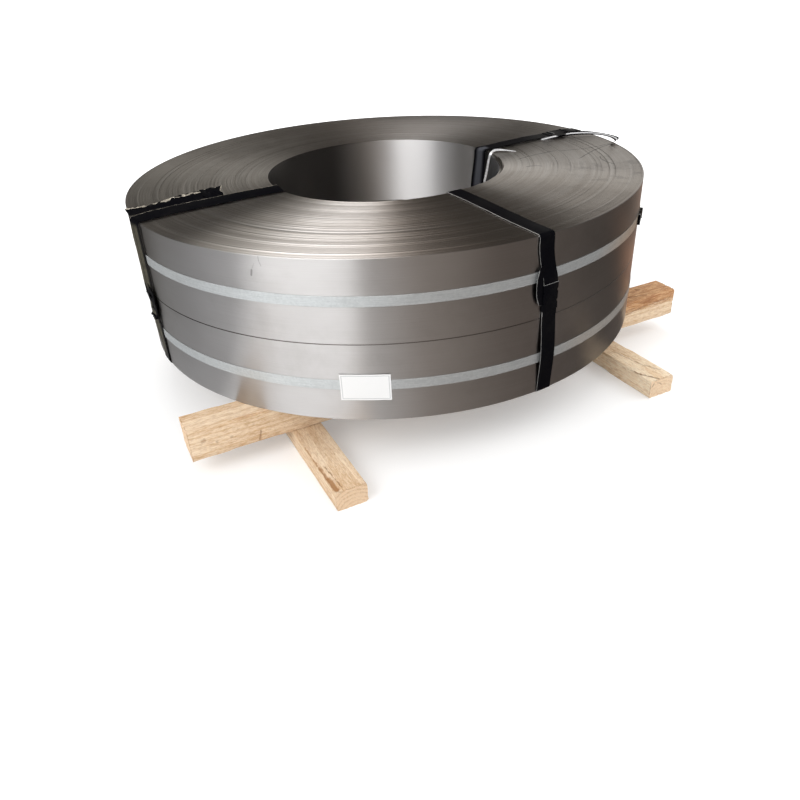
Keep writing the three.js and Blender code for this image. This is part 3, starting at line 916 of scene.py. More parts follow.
@dataclass(frozen=True)
class SawnPine(Finish):
    """Rough sawn pine: torn fibres, brown flecks that are partly painted shade of the fuzz, seams and knots,
    and rings on its ends.
    """

    name: str = "sawn pine"
    grain: Grain = Grain.ALONG_X
    pith: tuple[float, float] = (-0.29, 0.03)
    marks: tuple[Mark, ...] = ()
    stained_from: float | None = None
    reach: float = 0.58
    pale: Triple = (0.66, 0.44, 0.255)
    fresh: Triple = (0.90, 0.73, 0.54)
    brown: Triple = (0.44, 0.22, 0.09)
    stain: Triple = (0.38, 0.145, 0.04)
    ring: float = 0.0075

    def shaken(self, mix: Recipe, place: Socket) -> Socket:
        """A place moved a little at random, so that seams wander."""
        wander = mix.node("TexNoise", Vector=place, Scale=95.0).outputs["Color"]
        middle = mix.vector("SUBTRACT", wander, (0.5, 0.5, 0.5))
        return mix.vector("ADD", place, mix.scaled(middle, 0.006))

    def rings(self, mix: Recipe, place: Socket) -> Socket:
        """Growth rings about the pith: 1 in late wood, 0 in early wood."""
        _, across, up = mix.parts(place)
        sway = mix.noise(place, (2.0, 12.0, 12.0), 2.0, 0.5)
        sway = mix.times(mix.less(sway, 0.5), 0.012)
        from_pith = mix.join(
            0.0,
            mix.plus(mix.less(across, self.pith[0]), sway),
            mix.plus(mix.less(up, self.pith[1]), sway),
        )
        phase = mix.math("FRACT", mix.math("DIVIDE", mix.vector("LENGTH", from_pith), self.ring))
        return mix.spread(phase, 0.45, 0.95)

    def make(self) -> Material:
        """Build the material."""
        material, mix, surface = self.begin()
        here = mix.place()
        place = mix.stretch(here, (1, 1, 1), (0, 0, -self.grain.value))
        late = self.rings(mix, place)
        fibre = mix.noise(place, (40.0, 400.0, 400.0), 4.0, 0.72)
        hair = mix.noise(place, (150.0, 900.0, 900.0), 3.0, 0.75)
        cloud = mix.noise(place, (6.0, 30.0, 30.0), 4.0, 0.65)
        torn = mix.noise(place, (85.0, 330.0, 330.0), 4.0, 0.78, turn=(0.0, 0.12, 0.10))

        tone = mix.mean((fibre, 0.38), (torn, 0.28), (cloud, 0.28), (late, 0.06))
        colour = mix.blend(mix.spread(tone, 0.38, 0.60), self.fresh, self.pale)
        streak = mix.spread(mix.mean((cloud, 0.40), (fibre, 0.35), (torn, 0.25)), 0.53, 0.67, 0.0, 0.66)
        colour = mix.blend(streak, colour, self.brown)
        # Dark specks and flecks along the grain: partly the wood's own, partly painted shade under the sawn
        # fuzz.
        speck_place = mix.stretch(place, (0.30, 1, 1))
        speck = self.grime(mix, speck_place, 330.0, 0.41)
        colour = mix.tint(colour, speck, 0.60, (0.36, 0.175, 0.07))
        fleck = self.grime(mix, speck_place, 150.0, 0.33)
        colour = mix.tint(colour, fleck, 0.62, (0.27, 0.13, 0.055))
        grime = self.grime(mix, place, 15.0, 0.36)
        colour = mix.tint(colour, grime, 0.20, (0.38, 0.255, 0.165))
        if self.stained_from is not None:
            colour = self.stained(mix, place, colour, fibre, torn)

        normal = mix.normal()
        turned = mix.stretch(normal, (1, 1, 1), (0, 0, -self.grain.value))
        on_end = mix.spread(mix.size(mix.parts(turned)[0]), 0.6, 0.9, 0.0, 1.0)
        end_colour = mix.blend(
            mix.times(late, mix.spread(cloud, 0.35, 0.65, 0.15, 0.75)), (0.80, 0.56, 0.36), (0.46, 0.24, 0.105)
        )
        end_colour = mix.blend(mix.spread(torn, 0.40, 0.62, 0.0, 0.55), end_colour, self.fresh)
        colour = mix.blend(mix.times(on_end, 0.85), colour, end_colour)
        run, _, _ = mix.parts(place)
        # A dark line along the edges of the sawn ends: painted shade.
        ragged = mix.times(mix.less(torn, 0.5), 0.006)
        near_end = mix.plus(mix.size(run), ragged)
        arris = mix.times(mix.spread(near_end, self.reach - 0.0035, self.reach - 0.0012), 0.5)
        colour = mix.blend(mix.times(arris, mix.rest(on_end)), colour, (0.36, 0.19, 0.09))

        wandering = self.shaken(mix, here)
        dents: object = 0.0
        for mark in self.marks:
            cover = mark.cover(mix, wandering)
            colour = mix.blend(cover, colour, mark.colour)
            dents = mix.most(dents, cover)
        mix.fill(surface, Base_Color=colour)

        saw = mix.node("TexWave", wave_type="BANDS", bands_direction="X")
        mix.fill(saw, Vector=place, Scale=42.0, Distortion=2.4, Detail=2.0, Detail_Scale=1.2)
        saw_marks = mix.times(saw.outputs["Fac"], mix.rest(on_end))
        relief = mix.mean(
            (fibre, 0.6), (torn, 0.8), (hair, 0.6), (saw_marks, 0.07), (dents, -1.2), (speck, -0.25)
        )
        mix.fill(surface, Normal=mix.bump(relief, 0.8, 0.0016))
        mix.fill(surface, Roughness=mix.spread(tone, 0.2, 0.9, 0.85, 0.72), Specular_IOR_Level=0.3)
        return material

    def stained(self, mix: Recipe, place: Socket, colour: Socket, fibre: Socket, torn: Socket) -> Socket:
        """Orange-brown heartwood on the upper part of one end, with darker streaks."""
        run, _, up = mix.parts(place)
        beyond = mix.spread(run, self.stained_from, self.stained_from + 0.04)
        edge = mix.plus(up, mix.times(mix.less(torn, 0.5), 0.03))
        upper = mix.spread(edge, 0.074, 0.086)
        heart = mix.times(beyond, upper)
        rich = mix.blend(mix.spread(fibre, 0.40, 0.58), (0.61, 0.335, 0.15), self.stain)
        rich = mix.blend(mix.spread(torn, 0.52, 0.64, 0.0, 0.55), rich, (0.80, 0.55, 0.32))
        dark = mix.noise(place, (14.0, 130.0, 130.0), 3.0, 0.6, turn=(0.3, 0.0, 0.4))
        rich = mix.blend(mix.spread(dark, 0.50, 0.62, 0.0, 0.85), rich, (0.30, 0.105, 0.03))
        return mix.blend(mix.times(heart, 0.82), colour, rich)


# --- Coils ---


@dataclass
class SlitCoil:
    """A ring of wound strip whose turns finish a little high or low on each end."""

    node: str
    turns_shown: tuple[int, int]
    seed: int
    sunk_lip: bool = False
    bore_radius: float = 254 * MM
    strip_gauge: float = 3.0 * MM
    edge_break: float = 0.8 * MM
    ragged: float = 0.15 * MM
    chamfer: float = 0.07 * MM
    around: int = 240
    low: Vector = field(init=False)
    high: Vector = field(init=False)

    def __post_init__(self) -> None:
        """Take the outside size and the place from the frame."""
        self.low, self.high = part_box(self.node)

    @property
    def outer_radius(self) -> float:
        """Outside radius of the last turn."""
        return (self.high.x - self.low.x) / 2

    def end_rings(self, every: int, dice: random.Random) -> list[tuple[float, float]]:
        """Radius and depth below the end face of each turn's edge, from the outside in.

        Args:
            every: how many turns are taken together.
            dice: gives each turn its height.

        Returns:
            Pairs of radius and depth: three for each group of turns.
        """
        outer = self.outer_radius - self.edge_break
        inner = self.bore_radius + self.edge_break
        count = round((outer - inner) / (self.strip_gauge * every))
        pitch = (outer - inner) / count
        rings = []
        drift = 0.0
        for turn in range(count):
            drift = 0.8 * drift + dice.uniform(-1, 1) * self.ragged * 0.35
            depth = abs(drift) + dice.random() * self.ragged * 0.30
            if dice.random() < 0.10:
                depth += self.ragged * dice.uniform(0.8, 2.0)
            radius = outer - turn * pitch
            tilt = dice.uniform(-0.04, 0.06) * MM
            rings.append((radius, depth + self.chamfer))
            rings.append((radius - self.chamfer, depth))
            rings.append((radius - pitch * 0.95, max(depth + tilt, 0.0)))
        return rings

    def section(self) -> list[Vector]:
        """Half section of the coil, anticlockwise seen with +Z up."""
        dice = random.Random(self.seed)
        top = self.end_rings(self.turns_shown[0], dice)
        bottom = self.end_rings(self.turns_shown[1], dice)
        rim = self.outer_radius
        eye = self.bore_radius
        brk = self.edge_break
        points = [Vector((rim, 0, self.low.z + brk)), Vector((rim, 0, self.high.z - brk))]
        points += [Vector((radius, 0, self.high.z - depth)) for radius, depth in top]
        points += [Vector((eye, 0, self.high.z - brk)), Vector((eye, 0, self.low.z + brk))]
        points += [Vector((radius, 0, self.low.z + depth)) for radius, depth in reversed(bottom)]
        return points

    def sink_lip(self, coil: Piece) -> None:
        """Let the innermost turns sag in a crescent beside the bore."""
        turn = math.radians(-42)
        centre = Vector((math.cos(turn), math.sin(turn))) * 36.5 * MM
        top = self.high.z - 3 * MM
        group = coil.vertex_groups.new(name="sunk")
        for vertex in coil.data.vertices:
            reach = 225.5 * MM - (vertex.co.xy - centre).length
            if reach > 0 and vertex.co.z > top:
                group.add([vertex.index], min(reach / (2.0 * MM), 1.0), "REPLACE")
        sag = coil.modifiers.new("sag", "DISPLACE")
        sag.direction = "Z"
        sag.strength = -6 * MM
        sag.mid_level = 0.0
        sag.vertex_group = group.name
        apply_all(coil)

    def on_end(self, face: bmesh.types.BMFace) -> bool:
        """Whether a face belongs to the slit ends and not to a wall."""
        reach = face.calc_center_median().xy.length
        return self.bore_radius + self.edge_break * 0.7 < reach < self.outer_radius - self.edge_break * 0.7

    def build(self, wall: Material, ends: Material) -> Piece:
        """Turn the coil and dress its walls and its ends."""
        coil = drawn_line(f"{self.node}_wound", self.section(), closed=True)
        turn_about_axis(coil, self.around)
        if self.sunk_lip:
            self.sink_lip(coil)
        smooth(coil, 25.0)
        finish_piece(coil, wall, [self.node])
        coil.data.materials.append(ends)
        with editing(coil, Pick.FACES):
            choose(coil, Pick.FACES, self.on_end)
            coil.active_material_index = 1
            bpy.ops.object.material_slot_assign()
        return coil


# --- Bands ---


def lay_map(piece: Piece, name: str, read: Callable[[Vector], tuple[float, float]]) -> None:
    """Give a piece a UV map worked out from the place of each corner.

    Args:
        piece: the mesh.
        name: the map's name.
        read: gives the two map values of a point.
    """
    layer = piece.data.uv_layers.get(name) or piece.data.uv_layers.new(name=name)
    for loop in piece.data.loops:
        layer.data[loop.index].uv = read(piece.data.vertices[loop.vertex_index].co)


def work(piece: Piece, shift: Callable[[Vector], Vector]) -> None:
    """Push each point of a piece by a small amount that depends on its place.

    Args:
        piece: the mesh.
        shift: gives how far a point moves.
    """
    with editing(piece) as mesh:
        for vertex in mesh.verts:
            vertex.co += shift(vertex.co)
        bmesh.update_edit_mesh(piece.data)


def ease(value: float, start: float, stop: float) -> float:
    """A smooth step from 0 at the start to 1 at the stop."""
    share = min(max((value - start) / (stop - start), 0.0), 1.0)
    return share * share * (3 - 2 * share)


def hump(value: float, middle: float, half: float) -> float:
    """A smooth hump of height 1 that fades out at half its width on both sides."""
    return 1.0 - ease(abs(value - middle), 0.0, half)


def along(start: Vector, stop: Vector, step: float) -> list[Vector]:
    """Points on a straight run, without its last one."""
    count = max(round((stop - start).length / step), 1)
    return [start.lerp(stop, index / count) for index in range(count)]


def quarter_bend(centre: Vector, radius: float, start: float, steps: int = 8) -> list[Vector]:
    """Points of a quarter circle in the XZ plane, turning from a start angle in degrees."""
    turns = [math.radians(start + 90 * step / steps) for step in range(steps + 1)]
    return [centre + Vector((math.cos(turn), 0, math.sin(turn))) * radius for turn in turns]


def ribbon(name: str, left: Sequence[Vector], right: Sequence[Vector], gauge: float) -> Piece:
    """Bridge two long edges into a strip, round its curves and give it a gauge.

    Args:
        name: the new piece's name.
        left: one long edge, from end to end.
        right: the other long edge, with as many points.
        gauge: the strip's thickness.
    """
    strip = drawn_line(name, left)
    other = drawn_line("other_edge", right)
    join_into(strip, other)
    across = strip.data.attributes.new("across", "FLOAT", "POINT")
    across.data.foreach_set("value", [0.0] * len(left) + [1.0] * len(right))
    with whole(strip, Pick.EDGES):
        bpy.ops.mesh.bridge_edge_loops()
    round_off = strip.modifiers.new("round", "SUBSURF")
    round_off.levels = round_off.render_levels = 2
    apply_all(strip)
    thicken(strip, gauge)
    return strip


def leaf(name: str, outline: Sequence[Vector]) -> Piece:
    """A flat sheet inside an outline, with two rings of faces near its edge."""
    sheet = drawn_line(name, outline, closed=True)
    with whole(sheet, Pick.EDGES):
        bpy.ops.mesh.edge_face_add()
        bpy.ops.mesh.inset(thickness=1.2 * MM)
        bpy.ops.mesh.inset(thickness=2.4 * MM)
    return sheet


@dataclass
class GirthStrap:
    """A galvanised band that lies round the waist of one coil."""

    node: str
    gauge: float = 0.8 * MM
    edge: float = 0.2 * MM
    around: int = 240

    def build(self, material: Material) -> Piece:
        """Turn the band and dress it."""
        low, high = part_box(self.node)
        outer = (high.x - low.x) / 2
        inner = outer - self.gauge
        ring = [
            Vector((outer, 0, low.z + self.edge)),
            Vector((outer, 0, high.z - self.edge)),
            Vector((outer - self.edge, 0, high.z)),
            Vector((inner, 0, high.z)),
            Vector((inner, 0, low.z)),
            Vector((outer - self.edge, 0, low.z)),
        ]
        band = drawn_line(f"{self.node}_band", ring, closed=True)
        turn_about_axis(band, self.around)
        smooth(band, 35.0)
        finish_piece(band, material, [self.node])
        return band


@dataclass
class Seal:
    """A folded steel seal, crimped twice over the straps that it joins."""

    name: str
    band_width: float
    stack: float
    length: float
    flange: float = 9 * MM
    wall: float = 0.8 * MM
    crimp_depth: float = 0.13
    flare: float = 0.35 * MM
    crumple: float = 0.0
    buckle: float = 0.0
    lit_ends: tuple[float, float] = (1.0, 1.0)

    @property
    def height(self) -> float:
        """Height over the surface that it lies on."""
        foot = self.wall if self.flange > 0 else 0.0
        return foot + 2 * FIT_GAP + self.stack + self.wall

    @property
    def half_width(self) -> float:
        """Half of its outside width."""
        return self.band_width / 2 + FIT_GAP + self.wall

    def section(self) -> list[Vector]:
        """Middle line of the folded sheet, across Y with Z up."""
        sheet = self.wall / 2
        side = self.half_width - sheet
        roof = self.height - sheet
        foot = sheet if self.flange > 0 else 0.0
        half = [
            Vector((0, side, foot + 0.6 * MM)),
            Vector((0, side, roof - 0.8 * MM)),
            Vector((0, side - 0.25 * MM, roof - 0.25 * MM)),
            Vector((0, side - 0.8 * MM, roof)),
        ]
        if self.flange > 0:
            half = [Vector((0, side - self.flange, foot)), Vector((0, side - 0.6 * MM, foot))] + half
        half += [Vector((0, side * share, roof)) for share in (0.66, 0.33)]
        other = [Vector((point.x, -point.y, point.z)) for point in reversed(half)]
        return half + [Vector((0, 0, roof))] + other

    def crimped(self, run: float) -> float:
        """How far the seal is pinched at a distance from its middle, from 0 to 1."""
        return max(hump(run, place, 4.5 * MM) for place in (-self.length * 0.2, self.length * 0.2))

    def fold(self, seed: int) -> Piece:
        """Fold the seal flat on the origin, with its length along X."""
        step = 1.5 * MM
        count = round(self.length / step)
        seal = drawn_line(self.name, [point - Vector((self.length / 2, 0, 0)) for point in self.section()])
        sweep(seal, [Vector((self.length / count, 0, 0))] * count)
        dice = random.Random(seed)
        lean = dice.uniform(-0.25, 0.25) * MM

        def crimp(point: Vector) -> Vector:
            """Pinch the sides, dish the roof and flare the ends."""
            pinch = self.crimped(point.x)
            top = ease(point.z, self.height * 0.4, self.height * 0.9)
            dish = -0.55 * MM * pinch * top * hump(point.y, 0, self.half_width)
            flare = self.flare * ease(abs(point.x), self.length * 0.34, self.length * 0.5) * top
            dent = noise.noise_vector(point * 110 + Vector((seed, 0, 0))) * self.crumple * (0.3 + top)
            dent += noise.noise_vector(point * 45 + Vector((0, seed, 0))) * self.crumple * self.buckle
            across = -point.y * self.crimp_depth * pinch
            return Vector((lean * point.y / self.half_width, across, dish + flare)) + dent

        work(seal, crimp)
        length, middle = self.length, self.half_width
        # lit_ends keeps the bright end edge only at a lit end: a painted highlight.
        lay_map(
            seal,
            "strap",
            lambda spot: (spot.y / middle / 2 + 0.5, spot.x / length * self.lit_ends[spot.x > 0] + 0.5),
        )
        with whole(seal):
            bpy.ops.mesh.normals_make_consistent(inside=False)
        thicken(seal, self.wall, even=self.crumple == 0)
        smooth(seal, 30.0)
        return seal


@dataclass
class EyeStrap:
    """A steel strap that runs up the wall, over the pack and back through its eye."""

    node: str
    azimuth: float
    joint: float
    joint_on_top: bool = False
    width: float = 32 * MM
    gauge: float = 0.9 * MM
    lap: float = 70 * MM
    joggle: float = 22 * MM
    outer: float = 551.85 * MM
    inner: float = 251.40 * MM
    top: float = 411.15 * MM
    bottom: float = 103.15 * MM
    bend: float = 6.56 * MM
    crown: float = 0.28 * MM
    lit_sides: tuple[float, float] = (1.0, 0.85)
    lit_ends: tuple[float, float] = (1.0, 0.85)
    seal_length: float = 50 * MM
    seal_flare: float = 0.5 * MM
    seed: int = 1

    @property
    def shift(self) -> float:
        """How far the outer layer of a lap lies from the inner one."""
        return self.gauge + FIT_GAP

    def corners(self) -> list[list[Vector]]:
        """The four bends: rim top, eye top, eye bottom and rim bottom."""
        near, far = self.inner + self.bend, self.outer - self.bend
        high, low = self.top - self.bend, self.bottom + self.bend
        return [
            quarter_bend(Vector((far, 0, high)), self.bend, 0),
            quarter_bend(Vector((near, 0, high)), self.bend, 90),
            quarter_bend(Vector((near, 0, low)), self.bend, 180),
            quarter_bend(Vector((far, 0, low)), self.bend, 270),
        ]

    def lapped(self, middle: Vector, way: Vector, out: Vector) -> list[Vector]:
        """The outer layer of the lap and its step back onto the inner layer's level.

        Args:
            middle: the middle of the lap, on the inner layer.
            way: the direction in which the strap leaves the lap.
            out: the direction away from the coil.
        """
        start = middle + out * self.shift - way * self.lap / 2
        stop = start + way * self.lap
        return along(start, stop, 2.5 * MM) + along(stop, stop + way * self.joggle - out * self.shift, 4 * MM)

    def path(self) -> list[Vector]:
        """Middle line of the strap, from its upper cut end once round to the lower one."""
        rim, eye, foot, toe = self.corners()
        up, out = Vector((0, 0, 1)), Vector((1, 0, 0))
        step = 8 * MM
        if self.joint_on_top:
            middle = Vector((self.joint, 0, self.top))
            points = self.lapped(middle, out, up)
            points += along(middle + out * (self.lap / 2 + self.joggle), rim[-1], step) + rim[::-1]
            points += along(rim[0], toe[-1], step) + toe[::-1]
            points += along(toe[0], foot[-1], step) + foot[::-1]
            points += along(foot[0], eye[-1], step) + eye[::-1]
            points += along(eye[0], middle - out * self.lap / 2, step)
            points += along(middle - out * self.lap / 2, middle + out * self.lap / 2, 2.5 * MM)
            return points + [middle + out * self.lap / 2]
        middle = Vector((self.outer, 0, self.joint))
        points = self.lapped(middle, up, out)
        points += along(middle + up * (self.lap / 2 + self.joggle), rim[0], step) + rim
        points += along(rim[-1], eye[0], step) + eye
        points += along(eye[-1], foot[0], step) + foot
        points += along(foot[-1], toe[0], step) + toe
        points += along(toe[-1], middle - up * self.lap / 2, step)
        points += along(middle - up * self.lap / 2, middle + up * self.lap / 2, 2.5 * MM)
        return points + [middle + up * self.lap / 2]

    def at_joint(self, point: Vector) -> float:
        """Distance of a point from the middle of the joint, along the strap; large elsewhere."""
        if self.joint_on_top:
            return point.x - self.joint if point.z > self.top - self.bend / 2 else 1.0
        return point.z - self.joint if point.x > self.outer - self.bend / 2 else 1.0

    def sway(self, point: Vector) -> Vector:
        """How the strap strays from its straight run; plain here."""
        return Vector((0, 0, 0))

    def build(self, material: Material, seal: Seal) -> Piece:
        """Bend the strap, notch it with its seal and dress it."""
        route = self.path()
        points = route[:1] + [after for before, after in pairwise(route) if (after - before).length > WELD]
        strap = drawn_line(f"{self.node}_bent", [point - Vector((0, self.width / 2, 0)) for point in points])
        columns = 6
        sweep(strap, [Vector((0, self.width / columns, 0))] * columns)
        # lit_sides shortens the map on the shaded side, so only the lit edge reaches bright metal: a painted
        # highlight.
        lay_map(
            strap,
            "strap",
            lambda spot: ((spot.x + spot.z) * 2.0, spot.y / self.width * self.lit_sides[spot.y > 0] + 0.5),
        )
        with whole(strap):
            bpy.ops.mesh.normals_make_consistent(inside=False)
        self.crown_middle(strap)
        wave = random.Random(self.seed)
        phases = [wave.uniform(0, math.tau) for _ in range(4)]

        def live(point: Vector) -> Vector:
            """The sway, the seal's notches and a slight springy waviness."""
            run = self.at_joint(point)
            pinch = -point.y * seal.crimp_depth * seal.crimped(run) if abs(run) < seal.length / 2 else 0.0
            ripple = 0.22 * MM * math.sin(point.x * 95 + phases[0]) * math.sin(point.z * 60 + phases[1])
            edge = point.y / self.width * 0.35 * MM * math.sin((point.x + point.z) * 70 + phases[2])
            calm = 0.0 if abs(run) < seal.length / 2 + 12 * MM else 1.0
            out = Vector((1, 0, 0)) if point.z < self.top - self.bend else Vector((0, 0, 1))
            free = point.z > self.bottom + self.bend and point.x > self.inner + 3 * MM
            lift = out * max(ripple + edge, -0.1 * MM) * calm if free else Vector((0, 0, 0))
            return self.sway(point) + Vector((0, pinch, 0)) + lift

        work(strap, live)
        thicken(strap, self.gauge)
        self.add_extras(strap)
        smooth(strap, 30.0)
        swing(strap, self.azimuth)
        finish_piece(strap, material, [self.node])
        return strap

    def crown_middle(self, strap: Piece) -> None:
        """Raise the middle of the band a little, column by column."""
        for reach, share in ((0.40, 0.40), (0.25, 0.35), (0.08, 0.25)):
            with editing(strap):
                choose(strap, Pick.VERTS, lambda vertex, reach=reach: abs(vertex.co.y) < self.width * reach)
                bpy.ops.transform.shrink_fatten(value=self.crown * share)

    def add_extras(self, strap: Piece) -> None:
        """Nothing more on a plain strap."""


@dataclass
class FrontStrap(EyeStrap):
    """The front strap: it crosses the top askew, bows off the wall and has a loose leaf beside its seal."""

    def add_extras(self, strap: Piece) -> None:
        """Join the loose leaf that curls out from under the strap beside its seal."""
        outline = ((-12, 357), (-12, 335), (-11, 318), (-12, 300), (-13, 287), (-19, 283), (-26, 286),
                   (-31, 294), (-33.5, 306), (-34.5, 321), (-33.5, 336), (-29.5, 350), (-21, 358))
        points = [Vector((self.outer, side * MM, height * MM)) for side, height in outline]
        loose = leaf("leaf", points)
        lay_map(loose, "strap", lambda spot: (spot.z * 2, self.leaf_edge(spot)))
        work(loose, lambda spot: Vector((3.6 * MM * ease(-spot.y, 0.012, 0.033), 0, 0)))
        thicken(loose, self.gauge)
        join_into(strap, loose)

    def leaf_edge(self, spot: Vector) -> float:
        """The strap map's cross value on the leaf: 0 on its outline, 0.5 inside."""
        bulge = -34.5 + abs(spot.z / MM - 321) ** 2 * 0.0070
        return min(max(min((spot.y / MM - bulge) / 16, (spot.z / MM - 283) / 12), 0.0), 0.5)

    def sway(self, point: Vector) -> Vector:
        """Askew over the top, back to its line above the seal, and standing off below it."""
        on_top = ease(point.z, self.top - 0.1, self.top - 0.02)
        askew = 8 * MM - 22 * MM * ease(point.x, self.inner - 0.02, self.outer + 0.02)
        down = ease(point.z, self.bottom + 0.04, self.top - 0.03)
        side = askew * (on_top if point.x > self.outer - 0.02 else down)
        low_bow = hump(point.z, self.bottom + 0.085, 0.085) * ease(
            point.x, self.outer - 0.03, self.outer - 0.004
        )
        return Vector((low_bow * 4.5 * MM, side, 0))


@dataclass
class LeftStrap(EyeStrap):
    """The left strap: twisted a little, with its far edge standing off the rim and the top."""

    def sway(self, point: Vector) -> Vector:
        """Slide towards the front and lift the far edge off the wall and the top."""
        far = 0.5 - point.y / self.width
        on_wall = ease(point.x, self.outer - 0.03, self.outer - 0.004) * ease(
            point.z, self.bottom + 0.01, self.bottom + 0.12
        )
        on_wall *= 1 - 0.7 * hump(point.z, self.joint, 0.06)
        on_top = ease(point.z, self.top - 0.04, self.top - 0.005)
        rim = ease(point.x, 0.46, 0.545) * ease(point.z, self.top - 0.16, self.top - 0.01)
        lip = ease(-point.x, -0.34, -0.262) * on_top
        slide = (7.5 * max(on_wall, on_top) + 3.0 * on_top + 7.0 * rim + 4.0 * lip) * MM
        return Vector((6.5 * MM * far * on_wall, slide, 5.5 * MM * far * on_top * (1 - on_wall * 0.5)))

    def add_extras(self, strap: Piece) -> None:
        """Join the strap's crumpled black end, which stands out over the seal."""
        outline = ((-9, 281), (2, 283), (15, 280), (23, 266), (28, 250), (28, 232), (25, 219), (19, 217),
                   (13, 226), (7, 238), (-4, 243), (-8, 262))
        points = [
            Vector((self.outer + (3.5 + max(10 - side, 0) * 0.15) * MM, side * MM, height * MM))
            for side, height in outline
        ]
        fold = leaf("fold", points)
        lay_map(fold, "strap", lambda spot: (-9.0, 0.5))
        work(fold, lambda spot: noise.noise_vector(spot * 120) * 3.5 * MM)
        thicken(fold, self.gauge, even=False)
        join_into(strap, fold)


@dataclass
class RearStrap(EyeStrap):
    """The rear strap: it springs off the lip of the eye and strays towards the front."""

    def sway(self, point: Vector) -> Vector:
        """Stand off the eye's lip and wall, mostly at the far edge, and bow over the top."""
        far = 0.5 + point.y / self.width
        in_eye = ease(point.z, self.bottom + 0.05, self.bottom + 0.2) * ease(
            -point.x, -self.inner - 0.03, -self.inner
        )
        over = ease(point.z, self.top - 0.02, self.top) * (
            1 - ease(point.x, self.joint - 0.075, self.joint - 0.035)
        )
        bow = 1.5 * MM * hump(point.x, self.inner + 0.09, 0.13)
        slide = 15.0 * MM * max(in_eye, over * (1 - ease(point.x, self.inner + 0.02, self.joint - 0.05) * 0.75))
        deep = ease(-point.z, -self.top, -self.top + 0.09)
        off = (2.0 + 4.0 * deep) + (7.0 + 6.0 * deep) * far
        return Vector((-off * MM * in_eye, -slide, (bow + 1.2 * MM * far) * over))

    def add_extras(self, strap: Piece) -> None:
        """Join the seal's torn flap, which laps over the bare strip."""
        outline = (
            (457, -13), (455, -22), (458, -31), (466, -37), (476, -38), (485, -33), (488, -24), (487, -13)
        )
        points = [Vector((radius * MM, side * MM, self.top + 3.2 * MM)) for radius, side in outline]
        flap = leaf("flap", points)
        lay_map(flap, "strap", lambda spot: (spot.x * 2, 0.5))
        work(flap, lambda spot: noise.noise_vector(spot * 130) * 2.0 * MM)
        thicken(flap, self.gauge, even=False)
        join_into(strap, flap)


@dataclass
class SealSeat:
    """Where a folded seal sits on its strap."""

    strap: EyeStrap
    seal: Seal

    def put(self, folded: Piece) -> None:
        """Lift the seal onto the strap's joint, on the wall or on the top face."""
        base = self.seal.wall + FIT_GAP + self.strap.gauge / 2
        if self.strap.joint_on_top:
            place(folded, (0, 0, 0), Vector((self.strap.joint, 0, self.strap.top - base)))
        else:
            place(folded, (0, math.pi / 2, 0), Vector((self.strap.outer - base, 0, self.strap.joint)))
        swing(folded, self.strap.azimuth)


@dataclass
class GirthSeal:
    """A small seal folded round a girth strap, with the strap's cut end under it."""

    node: str
    azimuth: float
    height: float
    length: float = 34 * MM
    stack: float = 2.2 * MM
    radius: float = 550.3 * MM

    def build(self, material: Material) -> Piece:
        """Fold the seal, roll it to the wall and dress it."""
        seal = Seal(f"{self.node}_crimped", 20 * MM, self.stack, self.length, flange=0.0, flare=1.2 * MM)
        folded = seal.fold(seed=50)
        middle, edge = seal.height / 2, 8.5 * MM
        steps = [-0.62, -0.45, -0.15, 0.15, 0.45, 0.62]
        run = [
            Vector((self.length * step, 0, middle + 2.2 * MM * ease(abs(step), 0.4, 0.62)))
            for step in steps
        ]
        ends = ribbon(
            "cut_ends",
            [spot + Vector((0, edge, 0)) for spot in run],
            [spot - Vector((0, edge, 0)) for spot in run],
            self.stack * 0.85,
        )
        lay_map(ends, "strap", lambda spot: (0.5, 0.5))
        join_into(folded, ends)
        smooth(folded, 30.0)
        work(folded, lambda spot: Vector((0, 0, -spot.x * spot.x / (2 * self.radius))))
        place(folded, (0, math.pi / 2, 0), Vector((0, 0, 0)))
        place(folded, (math.pi / 2, 0, 0), Vector((self.radius, 0, self.height)))
        swing(folded, self.azimuth)
        finish_piece(folded, material, [self.node])
        return folded


